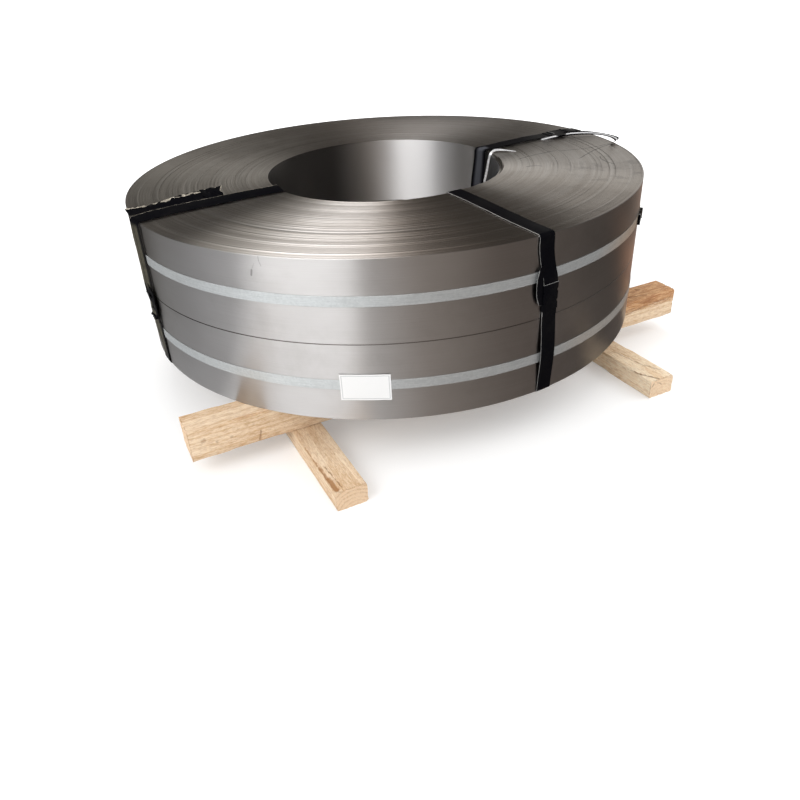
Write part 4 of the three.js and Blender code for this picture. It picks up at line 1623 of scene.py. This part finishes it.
@dataclass
class StrapTail:
    """The loose end beside the left strap: its seal stands on edge and the end flattens towards the rim."""

    azimuth: float = -175.0
    tilt: float = 22.0
    rim_tilt: float = 8.0
    width: float = 32 * MM
    gauge: float = 0.9 * MM
    clip_radius: float = 384 * MM
    reach: float = 555 * MM
    floor: float = 409.6 * MM
    beside: float = 16 * MM
    ceiling: float = 425.2 * MM

    def foot_side(self, clip: Seal) -> float:
        """How far the foot of the leaning seal stands beside the strap's middle."""
        return self.beside + FIT_GAP + clip.height * math.sin(math.radians(self.tilt))

    def seat(self, piece: Piece, clip: Seal) -> None:
        """Lean a piece on its foot and turn it to its place on the pack."""
        place(piece, (math.radians(-self.tilt), 0, 0), Vector((0, -self.foot_side(clip), self.floor)))
        swing(piece, self.azimuth)
        work(piece, lambda spot: Vector((0, 0, min(self.ceiling - spot.z, 0.0))))

    def worn(self, spot: Vector, middle: float) -> float:
        """The strap map's cross value: the paint has gone in patches along the torn edge; the bright patches
        are partly painted glints.
        """
        share = 0.5 - (spot.y + middle) / self.width
        broad = noise.noise(Vector((spot.x * 46, spot.y * 60, 3.1)))
        fine = noise.noise(Vector((spot.x * 150, spot.y * 180, 8.4)))
        patch = broad * 0.35 + fine * 0.3 + 0.5
        bare = ease(share + 0.5 * (patch - 0.5), 0.66, 0.80) * ease(patch, 0.41, 0.52)
        return 0.5 - (0.5 - 0.08) * share if bare < 0.05 else (0.5 - 0.42 * share) * (1 - bare)

    def build(self, material: Material) -> None:
        """Fold the seal, bend the tail and dress both."""
        clip = Seal(
            "top_seal_left_folded",
            self.width,
            self.gauge,
            38 * MM,
            flare=1.6 * MM,
            crumple=2.2 * MM,
            buckle=2.0,
            lit_ends=(1.0, 0.85),
        )
        middle = clip.half_width
        folded = clip.fold(seed=11)
        work(
            folded,
            lambda spot: Vector((-8 * MM * ease(-spot.x, 4 * MM, 19 * MM) * ease(-spot.y, 0, middle), 0, 0)),
        )
        place(folded, (0, 0, 0), Vector((self.clip_radius, -middle, 0)))
        self.seat(folded, clip)
        finish_piece(folded, material, ["top_seal_left"])

        start = self.clip_radius - clip.length / 2
        tail = drawn_line(
            "strap_tail_left_torn",
            along(
                Vector((start, -middle - self.width / 2, 0)),
                Vector((self.reach, -middle - self.width / 2, 0)),
                1.5 * MM,
            ),
        )
        columns = 18
        sweep(tail, [Vector((0, self.width / columns, 0))] * columns)
        lay_map(tail, "strap", lambda spot: (spot.x * 3, self.worn(spot, middle)))
        turn = math.radians(self.tilt - self.rim_tilt)

        def tear(point: Vector) -> Vector:
            """Twist towards the rim, curl the back edge and tear it."""
            level = clip.wall + FIT_GAP + self.gauge / 2
            angle = turn * ease(point.x, self.clip_radius + clip.length / 2, self.reach)
            share = -point.y / (2 * middle)
            loose = ease(point.x, self.clip_radius + clip.length / 2, self.clip_radius + 0.05)
            slow, fast = (noise.noise(Vector((point.x * rate, 1.7, 4.2))) for rate in (75, 330))
            bite = min(max(0.35 + 0.7 * slow + 0.45 * fast, 0.0), 1.0)
            notch = bite * 8.5 * MM * ease(share, 0.72, 1.0) * loose
            ripple = 1.6 * MM * math.sin(point.x * 60) + 3.4 * MM * (slow + 0.5 * fast)
            curl = ripple * ease(share, 0.5, 1.0) * loose
            flat = Vector((point.x, point.y + notch, level + curl))
            turned = Vector(
                (
                    flat.x,
                    flat.y * math.cos(angle) - flat.z * math.sin(angle),
                    flat.y * math.sin(angle) + flat.z * math.cos(angle),
                )
            )
            return turned - point

        work(tail, tear)
        thicken(tail, self.gauge)
        smooth(tail, 30.0)
        self.seat(tail, clip)
        finish_piece(tail, material, ["strap_tail_left"])


@dataclass
class BareTail:
    """A narrow bright strip: one end hooks over the rim, the other comes over the lip of the eye."""

    node: str = "bare_strap_tail"
    azimuth: float = 2.0
    width: float = 11 * MM
    lip_width: float = 5.0 * MM
    gauge: float = 0.7 * MM
    level: float = 409.7 * MM
    towards: Vector = field(default_factory=lambda: Vector((-0.60, -0.69, 0.36)))
    route: tuple[tuple[float, float, float, float], ...] = (
        (412, -31, 0.0, 6),
        (422, -35, 0.2, 22),
        (434, -38, 0.6, 40),
        (446, -37, 0.8, 40),
        (458, -32, 0.4, 22),
        (470, -29, 0.3, 12),
        (482, -30, 0.4, 22),
        (497, -36, 0.8, 36),
        (512, -45, 1.0, 40),
        (527, -54, 1.2, 36),
        (541, -64, 1.2, 24),
        (551, -75, 1.0, 14),
        (557, -88, 0.8, 10),
        (559, -103, 0.6, 10),
        (556, -120, 0.6, 14),
        (549, -137, 0.8, 22),
        (540, -151, 0.9, 34),
        (530, -161, 0.8, 40),
        (520, -164, 0.6, 30),
        (511, -160, 0.3, 10),
    )
    lip_route: tuple[tuple[float, float, float], ...] = (
        (250.2, -20.0, 300.0),
        (249.4, -28.0, 332.0),
        (248.1, -38.0, 355.0),
        (246.7, -46.0, 376.0),
        (245.0, -52.0, 392.0),
        (245.0, -55.0, 402.0),
        (247.5, -56.0, 409.0),
        (252.5, -56.0, 413.0),
        (259.5, -55.5, 414.6),
        (268.5, -56.5, 414.4),
        (280.0, -62.5, 413.0),
        (290.0, -72.0, 411.6),
        (299.0, -84.0, 410.8),
    )

    def edges(self) -> tuple[list[Vector], list[Vector]]:
        """The two long edges of the hooked end."""
        middles = [Vector((radius, side, rise)) * MM for radius, side, rise, _ in self.route]
        left, right = [], []
        for index, middle in enumerate(middles):
            run = (middles[min(index + 1, len(middles) - 1)] - middles[max(index - 1, 0)]).normalized()
            across = Vector((0, 0, 1)).cross(run).normalized()
            lean = math.radians(self.route[index][3])
            across = (across * math.cos(lean) + Vector((0, 0, 1)) * math.sin(lean)) * self.width / 2
            rise = Vector((0, 0, self.level + abs(across.z) + self.gauge / 2))
            left.append(middle + across + rise)
            right.append(middle - across + rise)
        return left, right

    def lip_edges(self) -> tuple[list[Vector], list[Vector]]:
        """The two long edges of the end that hangs into the eye; it flattens onto the top."""
        middles = [Vector(point) * MM for point in self.lip_route]
        left, right = [], []
        for index, middle in enumerate(middles):
            run = (middles[min(index + 1, len(middles) - 1)] - middles[max(index - 1, 0)]).normalized()
            flat = ease(index, 8.0, 11.0)
            across = run.cross(self.towards.lerp(Vector((0, 0, 1)), flat)).normalized() * self.lip_width / 2
            left.append(middle + across)
            right.append(middle - across)
        return left, right

    def build(self, material: Material) -> Piece:
        """Bend both ends of the strip and dress them as one piece."""
        strip = ribbon(f"{self.node}_bent", *self.edges(), self.gauge)
        join_into(strip, ribbon("lip_end", *self.lip_edges(), self.gauge))
        smooth(strip, 40.0)
        swing(strip, self.azimuth)
        finish_piece(strip, material, [self.node])
        return strip


@dataclass
class Label:
    """A blank paper label on the wall of the lower coil, with its corners lifting."""

    node: str = "label"
    azimuth: float = -120.6
    width: float = 90 * MM
    height: float = 52 * MM
    radius: float = 551.5 * MM
    foot: float = 148 * MM
    gauge: float = 0.25 * MM
    lifted: float = 1.0 * MM

    def build(self, material: Material) -> Piece:
        """Roll the paper on the wall and dress it."""
        reach = self.width / self.radius
        steps = 18
        turns = [reach * (step / steps - 0.5) for step in range(steps + 1)]
        arc = [
            Vector((math.cos(turn), math.sin(turn), 0)) * self.radius + Vector((0, 0, self.foot))
            for turn in turns
        ]
        paper = drawn_line(f"{self.node}_sheet", arc)
        sweep(paper, [Vector((0, 0, self.height / 10))] * 10)
        lay_map(
            paper,
            "sheet",
            lambda spot: (math.atan2(spot.y, spot.x) / reach + 0.5, (spot.z - self.foot) / self.height),
        )

        def lift(point: Vector) -> Vector:
            """Lift the corners off the wall."""
            across = abs(math.atan2(point.y, point.x)) / reach * 2
            up = abs((point.z - self.foot) / self.height - 0.5) * 2
            return Vector((point.x, point.y, 0)).normalized() * self.lifted * ease(across, 0.7, 1.0) * ease(
                up, 0.4, 1.0
            )

        work(paper, lift)
        thicken(paper, self.gauge)
        smooth(paper, 40.0)
        swing(paper, self.azimuth)
        finish_piece(paper, material, [self.node])
        return paper


# --- Timber ---


class Lies(Enum):
    """Which way a timber lies."""

    ALONG_X = 0
    ALONG_Y = 1


def runs_along(edge: bmesh.types.BMEdge, axis: int) -> bool:
    """Whether an edge runs along the given axis."""
    first, second = edge.verts
    return abs((second.co - first.co).normalized()[axis]) > 0.9


@dataclass
class Bearer:
    """A rough sawn bearer with worn arrises, chips and cracked ends."""

    node: str
    lies: Lies
    seed: int
    pith: tuple[float, float]
    strap_seat: tuple[float, float] | None = None
    marks: tuple[Mark, ...] = ()
    stained_from: float | None = None
    pale: Triple = (0.66, 0.44, 0.255)
    fresh: Triple = (0.90, 0.73, 0.54)
    cell: float = 4.0 * MM
    chip: float = 2.6 * MM
    fuzz: float = 0.28 * MM

    @property
    def half_length(self) -> float:
        """Half of its length."""
        size = self.high - self.low
        return (size.x if self.lies is Lies.ALONG_X else size.y) / 2

    def __post_init__(self) -> None:
        """Take the size from the frame."""
        self.low, self.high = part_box(self.node)

    def blank(self) -> Piece:
        """A block cut into small squares, at its place."""
        size = self.high - self.low
        start_fresh()
        bpy.ops.mesh.primitive_cube_add(size=1.0, location=(0, 0, 0))
        block = bpy.context.active_object
        block.name = block.data.name = f"{self.node}_sawn"
        with whole(block):
            bpy.ops.transform.resize(value=size)
            bpy.ops.transform.translate(value=(self.low + self.high) / 2)
        for axis in range(3):
            cuts = max(round(size[axis] / self.cell) - 1, 1)
            with editing(block, Pick.EDGES):
                choose(block, Pick.EDGES, lambda edge, axis=axis: runs_along(edge, axis))
                bpy.ops.mesh.subdivide(number_cuts=cuts)
        return block

    def build(self, effects: SharedEffects) -> Piece:
        """Saw the bearer and dress it in its own pine."""
        grain = Grain.ALONG_X if self.lies is Lies.ALONG_X else Grain.ALONG_Y
        material = SawnPine(
            effects=effects,
            name=f"sawn pine {self.node}",
            grain=grain,
            pith=self.pith,
            marks=self.marks,
            stained_from=self.stained_from,
            reach=self.half_length,
            pale=self.pale,
            fresh=self.fresh,
        ).make()
        block = self.blank()
        run = self.lies.value
        across = 1 - run
        low, high = self.low.copy(), self.high.copy()
        middle = (low + high) / 2
        half = (high - low) / 2
        seed = Vector((self.seed * 3.7, self.seed * 1.9, self.seed * 0.7))

        def saw(point: Vector) -> Vector:
            """Pull every point inwards by sawing fuzz, worn arrises, end cracks and cuts."""
            inside = [half[axis] - abs(point[axis] - middle[axis]) for axis in range(3)]
            shift = Vector((0, 0, 0))
            stretched = Vector(point)
            stretched[run] *= 0.22
            grain = noise.noise(stretched * 260 + seed) * 0.5 + 0.5
            coarse = noise.noise(stretched * 90 - seed) * 0.5 + 0.5
            depth = self.fuzz * (0.6 * grain + 0.8 * coarse)
            for axis in range(3):
                if inside[axis] < WELD * 10:
                    shift[axis] -= math.copysign(depth, point[axis] - middle[axis])
            arris = max(inside[across], inside[2])
            worn = noise.noise(Vector((point[run] * 26, point[across] * 3, point.z * 3)) + seed) * 0.5 + 0.5
            torn = max(
                noise.noise(Vector((point[run] * 9, point[across] * 3, point.z * 3)) - seed * 2) - 0.12, 0.0
            )
            wear = (0.5 * MM + self.chip * worn ** 2 * 0.5 + self.chip * torn * 2.2) * (
                1 - ease(arris, 0.0, 4.2 * MM)
            )
            shift[across] -= math.copysign(wear, point[across] - middle[across])
            shift.z -= math.copysign(wear, point.z - middle.z)
            if inside[run] < WELD * 10:
                crack = abs(noise.noise(Vector((point[across] * 55, point.z * 55, self.seed))))
                depth = 1.4 * MM * coarse + 2.2 * MM * max(0.12 - crack, 0) / 0.12
                shift[run] -= math.copysign(depth, point[run] - middle[run])
            for mark in self.marks:
                if mark.sink:
                    pull = mark.sink * MM * ease(mark.away(point), mark.width * 1.5 * MM, 0.0)
                    for axis in (across, 2):
                        if inside[axis] < WELD * 10:
                            shift[axis] -= math.copysign(pull, point[axis] - middle[axis])
            return shift

        work(block, saw)
        if self.strap_seat:
            self.cut_seat(block)
        smooth(block, 38.0)
        finish_piece(block, material, [self.node])
        return block

    def cut_seat(self, block: Piece) -> None:
        """Cut the shallow seat that the strap passes through, across the top."""
        place_along, depth = self.strap_seat
        top = self.high.z - 1.5 * MM

        def press(point: Vector) -> Vector:
            """Lower the top where the strap lies."""
            across = abs(point[self.lies.value] - place_along)
            if point.z < top or across > 22 * MM:
                return Vector((0, 0, 0))
            return Vector((0, 0, -depth))

        work(block, press)


# --- Stage ---


@dataclass
class Studio:
    """Floor, world, lamps and camera."""

    hall_start: float = -126.0
    hall_stop: float = 196.0
    floor_levels: Levels = (
        (-178, (0.60, 0.60, 0.61)), (-130, (0.74, 0.73, 0.72)), (-116, (0.57, 0.54, 0.52)),
        (-106, (0.34, 0.30, 0.275)), (-95, (0.285, 0.250, 0.225)), (-75, (0.165, 0.135, 0.118)),
        (-35, (0.125, 0.105, 0.093)), (-8, (0.125, 0.100, 0.085)), (4, (0.20, 0.135, 0.10)),
        (18, (0.42, 0.25, 0.17)), (42, (0.60, 0.33, 0.22)), (52, (0.50, 0.28, 0.19)),
        (66, (0.14, 0.13, 0.12)), (90, (0.10, 0.095, 0.088)), (102, (0.15, 0.142, 0.128)),
        (116, (0.10, 0.095, 0.088)), (138, (0.10, 0.095, 0.09)), (152, (0.35, 0.35, 0.35)),
        (178, (0.53, 0.53, 0.54)),
    )
    door_levels: Levels = (
        (-30, (0.10, 0.085, 0.075)), (-22, (0.18, 0.115, 0.085)), (-10, (0.80, 0.39, 0.22)),
        (4, (0.90, 0.48, 0.28)), (18, (1.90, 1.05, 0.62)), (42, (1.90, 1.05, 0.62)),
        (58, (0.50, 0.28, 0.18)),
    )
    eye_levels: Levels = (
        (-178, (1.15, 1.14, 1.15)), (-155, (1.25, 1.23, 1.23)), (-130, (0.90, 0.86, 0.82)),
        (-110, (0.38, 0.345, 0.31)), (-90, (0.14, 0.12, 0.105)), (-60, (0.06, 0.052, 0.047)),
        (0, (0.045, 0.04, 0.038)), (45, (0.045, 0.042, 0.04)), (80, (0.14, 0.135, 0.13)),
        (105, (0.42, 0.41, 0.40)), (125, (0.58, 0.57, 0.56)), (150, (0.80, 0.79, 0.79)),
        (178, (1.15, 1.14, 1.15)),
    )
    wall_levels: Levels = (
        (-178, (0.45, 0.45, 0.46)), (-165, (0.45, 0.45, 0.46)), (-124, (0.09, 0.08, 0.075)),
        (-114, (0.41, 0.36, 0.32)), (-105, (0.52, 0.46, 0.41)), (-95, (0.49, 0.43, 0.38)),
        (-78, (0.21, 0.175, 0.155)), (-55, (0.22, 0.195, 0.175)), (-35, (0.12, 0.105, 0.095)),
        (-15, (0.035, 0.03, 0.027)), (0, (0.045, 0.04, 0.035)), (14, (0.56, 0.53, 0.49)),
        (30, (0.66, 0.64, 0.61)), (44, (0.80, 0.775, 0.735)), (50, (0.06, 0.055, 0.05)),
        (70, (0.06, 0.055, 0.05)), (84, (0.52, 0.50, 0.46)), (94, (0.22, 0.21, 0.19)),
        (108, (0.13, 0.125, 0.115)), (122, (0.06, 0.055, 0.05)), (135, (0.42, 0.40, 0.37)),
        (150, (0.10, 0.095, 0.09)), (178, (0.45, 0.45, 0.46)),
    )
    high_levels: Levels = (
        (-178, (0.85, 0.85, 0.87)), (-160, (0.85, 0.85, 0.87)), (-120, (0.75, 0.72, 0.69)),
        (-90, (0.60, 0.55, 0.50)), (-72, (0.06, 0.055, 0.05)), (-55, (0.05, 0.045, 0.04)),
        (-38, (0.30, 0.285, 0.27)), (-15, (0.36, 0.345, 0.33)), (0, (0.30, 0.29, 0.275)),
        (15, (0.66, 0.64, 0.61)), (30, (0.58, 0.56, 0.53)), (40, (0.20, 0.19, 0.18)),
        (50, (0.05, 0.045, 0.04)), (150, (0.06, 0.06, 0.06)), (178, (0.85, 0.85, 0.87)),
    )
    roof_levels: Levels = (
        (-180, (2.75, 2.76, 2.84)), (-165, (2.76, 2.76, 2.832)), (-132, (2.58, 2.52, 2.496)),
        (-122, (1.92, 1.8, 1.704)), (-106, (0.78, 0.68, 0.6)), (-95, (0.3, 0.26, 0.23)),
        (-75, (0.2, 0.17, 0.15)), (-55, (0.05, 0.045, 0.04)), (120, (0.05, 0.045, 0.04)),
        (135, (0.78, 0.76, 0.7)), (150, (1.05, 1.03, 0.97)), (165, (1.1, 1.09, 1.06)),
        (180, (2.75, 2.76, 2.84)),
    )

    def world(self) -> None:
        """White surroundings; softer where they only light the pack."""
        world = bpy.data.worlds.new("studio")
        bpy.context.scene.world = world
        world.use_nodes = True
        mix = Recipe(world.node_tree)
        path = mix.node("LightPath")
        seen = mix.most(path.outputs["Is Camera Ray"], path.outputs["Is Glossy Ray"])
        seen = mix.most(seen, path.outputs["Is Transmission Ray"])
        white = mix.node("Background", Color=(1, 1, 1, 1), Strength=1.0)
        fill = mix.node("Background", Color=(1, 1, 1, 1), Strength=0.88)
        shown = mix.node("MixShader", seen, fill.outputs[0], white.outputs[0])
        mix.node("OutputWorld", Surface=shown.outputs[0])

    def floor(self) -> Piece:
        """A wide pale floor at the level that the pack stands on."""
        start_fresh()
        bpy.ops.mesh.primitive_plane_add(size=STAGE_WIDTH, location=(0, 0, 0))
        floor = bpy.context.active_object
        floor.name = "floor"
        material, mix = new_material("pale floor")
        path = mix.node("LightPath")
        seen = mix.most(path.outputs["Is Camera Ray"], path.outputs["Is Glossy Ray"])
        matt = mix.node("BsdfDiffuse")
        mix.fill(matt, Color=(0.82, 0.82, 0.82, 1))
        glow = mix.node("Emission")
        mix.fill(glow, Color=(1, 1, 1, 1))
        away = mix.vector("LENGTH", mix.place())
        white = mix.spread(away, 0.8, 3.2, 0.22, 0.75)
        mix.fill(glow, Strength=mix.times(seen, white))
        both = mix.node("AddShader", matt.outputs[0], glow.outputs[0])
        mix.node("OutputMaterial", Surface=both.outputs[0])
        floor.data.materials.append(material)
        return floor

    def lamp(
        self,
        name: str,
        azimuth: float,
        rise: float,
        reach: float,
        size: tuple[float, float],
        power: float,
        glossy: bool = True,
    ) -> None:
        """Hang a soft rectangular lamp that faces the pack.

        Args:
            name: the lamp's name.
            azimuth: where it hangs, in degrees from +X.
            rise: its elevation above the floor, in degrees.
            reach: its distance from the middle of the pack.
            size: its width and height.
            power: its power in watts.
            glossy: whether shiny surfaces mirror it.
        """
        turn = math.radians(azimuth)
        lift = math.radians(rise)
        target = Vector((0, 0, LAMP_AIM))
        offset = Vector((math.cos(turn) * math.cos(lift), math.sin(turn) * math.cos(lift), math.sin(lift)))
        light = bpy.data.lights.new(name, "AREA")
        light.shape = "RECTANGLE"
        light.size, light.size_y = size
        light.energy = power
        holder = bpy.data.objects.new(name, light)
        bpy.context.collection.objects.link(holder)
        holder.location = target + offset * reach
        holder.rotation_mode = "QUATERNION"
        holder.rotation_quaternion = (-offset).to_track_quat("-Z", "Y")
        holder.visible_glossy = glossy

    def ring(self, name: str, radius: float, level: float, span: tuple[float, float] | None = None) -> Piece:
        """Draw the hall's outline at a radius and a height, open towards the window unless a span is given."""
        start, stop = span or (self.hall_start, self.hall_stop)
        steps = round((stop - start) / 6)
        turns = [math.radians(start + (stop - start) * step / steps) for step in range(steps + 1)]
        return drawn_line(
            name, [Vector((math.cos(turn) * radius, math.sin(turn) * radius, level)) for turn in turns]
        )

    def widen(self, piece: Piece, times: float) -> None:
        """Draw a ring out, or in, to a flat band about the middle."""
        with whole(piece):
            bpy.ops.mesh.extrude_region_move()
            bpy.ops.transform.resize(value=(times, times, 1))

    def glow_all_round(self, piece: Piece, levels: Sequence[tuple[float, Sequence[float]]]) -> None:
        """Light a part of the hall by its azimuth, for shiny surfaces only.

        Args:
            piece: the part of the hall.
            levels: azimuths in degrees, each with the colour that the hall has there.
        """
        material, mix = new_material(piece.name)
        x, y, _ = mix.parts(mix.place())
        share = mix.plus(mix.math("DIVIDE", mix.math("ARCTAN2", y, x), math.tau), 0.5)
        glow = mix.node("Emission")
        stops = [((azimuth + 180) / 360, colour) for azimuth, colour in levels]
        mix.fill(glow, Color=mix.ramp(share, stops))
        mix.node("OutputMaterial", Surface=glow.outputs[0])
        piece.data.materials.append(material)
        piece.visible_camera = piece.visible_diffuse = False
        piece.visible_shadow = piece.visible_transmission = False

    def hall(self) -> None:
        """Stand a dim hall round the pack, for shiny surfaces only, open where the window light comes in."""
        full_turn = (-180.0, 180.0)
        flats = (
            ("hall ground", 0.002, 0.003, 2400, None, self.floor_levels),
            ("eye ground", 0.001, 0.0045, 340, full_turn, self.eye_levels),
            ("door light", 0.87, 0.0045, 2.0, (-30.0, 58.0), self.door_levels),
            ("hall roof", HALL_RADIUS, 4.104, 0.02, full_turn, self.roof_levels),
        )
        for name, radius, level, times, span, levels in flats:
            flat = self.ring(name, radius, level, span)
            self.widen(flat, times)
            self.glow_all_round(flat, levels)
        for name, foot, height, levels in (
            ("hall walls", 0.004, 2.4, self.wall_levels),
            ("hall high walls", 2.404, 1.7, self.high_levels),
        ):
            walls = self.ring(name, HALL_RADIUS, foot)
            sweep(walls, [Vector((0, 0, height))])
            self.glow_all_round(walls, levels)

    def camera(self) -> None:
        """Set the camera where the pack is seen from the front, a little above."""
        data = bpy.data.cameras.new("camera")
        data.sensor_width = 36.0
        data.lens = 32.01
        data.clip_end = 400.0
        holder = bpy.data.objects.new("camera", data)
        bpy.context.collection.objects.link(holder)
        heading, dip, roll = math.radians(64.74), math.radians(32.48), math.radians(-3.18)
        forward = Vector((math.cos(heading) * math.cos(dip), math.sin(heading) * math.cos(dip), -math.sin(dip)))
        holder.location = (-0.6792, -1.4565, 0.8181)
        holder.rotation_mode = "QUATERNION"
        holder.rotation_quaternion = forward.to_track_quat("-Z", "Y") @ Quaternion((0, 0, 1), roll)
        bpy.context.scene.camera = holder

    def build(self) -> None:
        """Set up the whole stage."""
        self.world()
        self.floor()
        self.lamp("key", azimuth=-152, rise=34, reach=3.2, size=(2.2, 1.6), power=38)
        self.lamp("top", azimuth=65, rise=62, reach=3.4, size=(2.6, 2.0), power=40, glossy=False)
        self.lamp("fill", azimuth=-35, rise=30, reach=3.4, size=(2.6, 2.0), power=34, glossy=False)
        self.hall()
        self.camera()
        bpy.context.scene.view_settings.view_transform = "Standard"


def bearers() -> tuple[Bearer, ...]:
    """The four timbers, each in its own pine, all but the rear upper one with seams; the front one has knots
    too.
    """
    torn_brown = (0.36, 0.165, 0.055)
    knot_brown = (0.34, 0.19, 0.10)
    front_marks = (
        Mark((-447, -345.5, 64), (-452, -345.5, 42), 2.4, strength=0.6, sink=1.2, colour=(0.30, 0.15, 0.07)),
        Mark((-554, -345.5, 79), (-552, -345.5, 79.5), 6.0, strength=0.5, colour=knot_brown),
        Mark((-503, -345.5, 70), (-501, -345.5, 70), 4.6, strength=0.4, colour=knot_brown),
        Mark((-530, -345.5, 68), (-529, -345.5, 68.5), 3.6, strength=0.4, colour=knot_brown),
        Mark((430, -345.5, 73), (476, -345.5, 81), 2.4, strength=0.5),
        Mark((476, -345.5, 81), (571, -345.5, 86), 2.2, strength=0.4),
        Mark((500, -301, 105), (508, -303, 105), 4.5),
        Mark((450, -322, 105), (500, -334, 105), 3.0, strength=0.5),
    )
    left_marks = (
        Mark((-385, -405, 40), (-384, -468, 40), 2.8, strength=0.75, sink=1.2, colour=torn_brown),
        Mark((-384, -468, 40), (-382, -512, 39), 4.6, strength=0.8, sink=2.6, colour=torn_brown),
        Mark((-382, -512, 38), (-380, -547, 38), 7.0, strength=0.88, sink=4.0, colour=torn_brown),
        Mark((-374, -480, 40), (-369.5, -548, 40), 1.8, strength=0.7, colour=(0.26, 0.115, 0.04)),
    )
    right_marks = (
        Mark((317, -400, 40), (315, -487, 38), 3.4, strength=0.55, sink=1.5),
        Mark((315, -487, 38), (322, -524, 40), 3.4, sink=1.8),
        Mark((322, -524, 40), (340, -556, 40), 3.0, sink=1.2),
        Mark((331, -560, 41), (320, -560, 27), 2.4, strength=0.55),
        Mark((349, -560, 25), (331, -560, 36), 2.2, strength=0.5),
        Mark((340, -420, 40), (352, -500, 40), 2.2, strength=0.4),
        Mark((355, -500, 40), (368, -530, 40), 3.2, strength=0.35),
    )
    return (
        Bearer(
            "upper_bearer_front",
            Lies.ALONG_X,
            2,
            (-0.29, 0.03),
            (26 * MM, 2.6 * MM),
            front_marks,
            stained_from=0.40,
        ),
        Bearer("upper_bearer_rear", Lies.ALONG_X, 3, (0.33, 0.02)),
        Bearer("lower_bearer_left", Lies.ALONG_Y, 4, (0.350, -0.02), marks=left_marks),
        # The right lower bearer's paler pine is painted light: a lighter copy of the same pine.
        Bearer(
            "lower_bearer_right",
            Lies.ALONG_Y,
            5,
            (-0.347, -0.02),
            marks=right_marks,
            pale=(0.82, 0.60, 0.38),
            fresh=(0.95, 0.82, 0.63),
        ),
    )


def main() -> None:
    """Build the pack in order."""
    logging.basicConfig(level=logging.INFO, format="%(name)s: %(message)s")
    noise.seed_set(CRUMPLE_SEED)
    Studio().build()
    effects = SharedEffects()
    steel = StripSteel(effects).make()
    slit = SlitEnds(effects).make()
    SlitCoil("coil_upper", turns_shown=(1, 6), seed=3, sunk_lip=True).build(steel, slit)
    SlitCoil("coil_lower", turns_shown=(6, 5), seed=5).build(steel, slit)

    zinc = Galvanised(effects).make()
    for node in ("girth_strap_upper", "girth_strap_lower"):
        GirthStrap(node).build(zinc)

    black = StrapPaint(effects).make()
    # The left strap's paint: a painted sheen on the wall, and lighter, warmer bare metal that partly stands for
    # glints.
    painted_sheen = StrapPaint(
        effects, "dusty black strap paint", worn_from=0.475, fray=0.09, painted_sheen=0.95, metal=(0.68, 0.62, 0.52)
    ).make()
    # The rear strap's paint, with a painted sheen where it runs down the eye.
    rub_and_sheen = StrapPaint(effects, "rubbed black strap paint", rub_and_sheen=0.8).make()
    straps: tuple[tuple[EyeStrap, str, Material], ...] = (
        (
            LeftStrap("eye_strap_left", -175.0, 233.3 * MM, lit_ends=(0.85, 0.85), seal_flare=4.5 * MM, seed=4),
            "eye_seal_left",
            painted_sheen,
        ),
        (FrontStrap("eye_strap_front", -85.2, 295.3 * MM, seed=7), "eye_seal_front", black),
        (
            RearStrap(
                "eye_strap_rear",
                2.0,
                487 * MM,
                True,
                lit_sides=(0.85, 0.85),
                seal_length=40 * MM,
                seal_flare=1.2 * MM,
                seed=9,
            ),
            "eye_seal_rear",
            rub_and_sheen,
        ),
    )
    for number, (strap, node, paint) in enumerate(straps):
        crumple = {"eye_seal_left": 2.4, "eye_seal_rear": 0.9}.get(node, 0.0) * MM
        stack = strap.gauge + strap.shift
        seal = Seal(
            f"{node}_crimped",
            strap.width,
            stack,
            strap.seal_length,
            flare=strap.seal_flare,
            crumple=crumple,
            lit_ends=strap.lit_ends,
        )
        strap.build(paint, seal)
        folded = seal.fold(seed=30 + number)
        SealSeat(strap, seal).put(folded)
        finish_piece(folded, black, [node])
    GirthSeal("girth_seal_lower", azimuth=62.5, height=178.0 * MM).build(black)
    GirthSeal("girth_seal_upper", azimuth=-47.5, height=336.3 * MM, length=44 * MM, stack=3.8 * MM).build(black)
    StrapTail().build(painted_sheen)
    BareTail().build(BrightStrip(effects).make())
    Label().build(LabelPaper(effects).make())

    for bearer in bearers():
        bearer.build(effects)


if __name__ == "__main__":
    main()
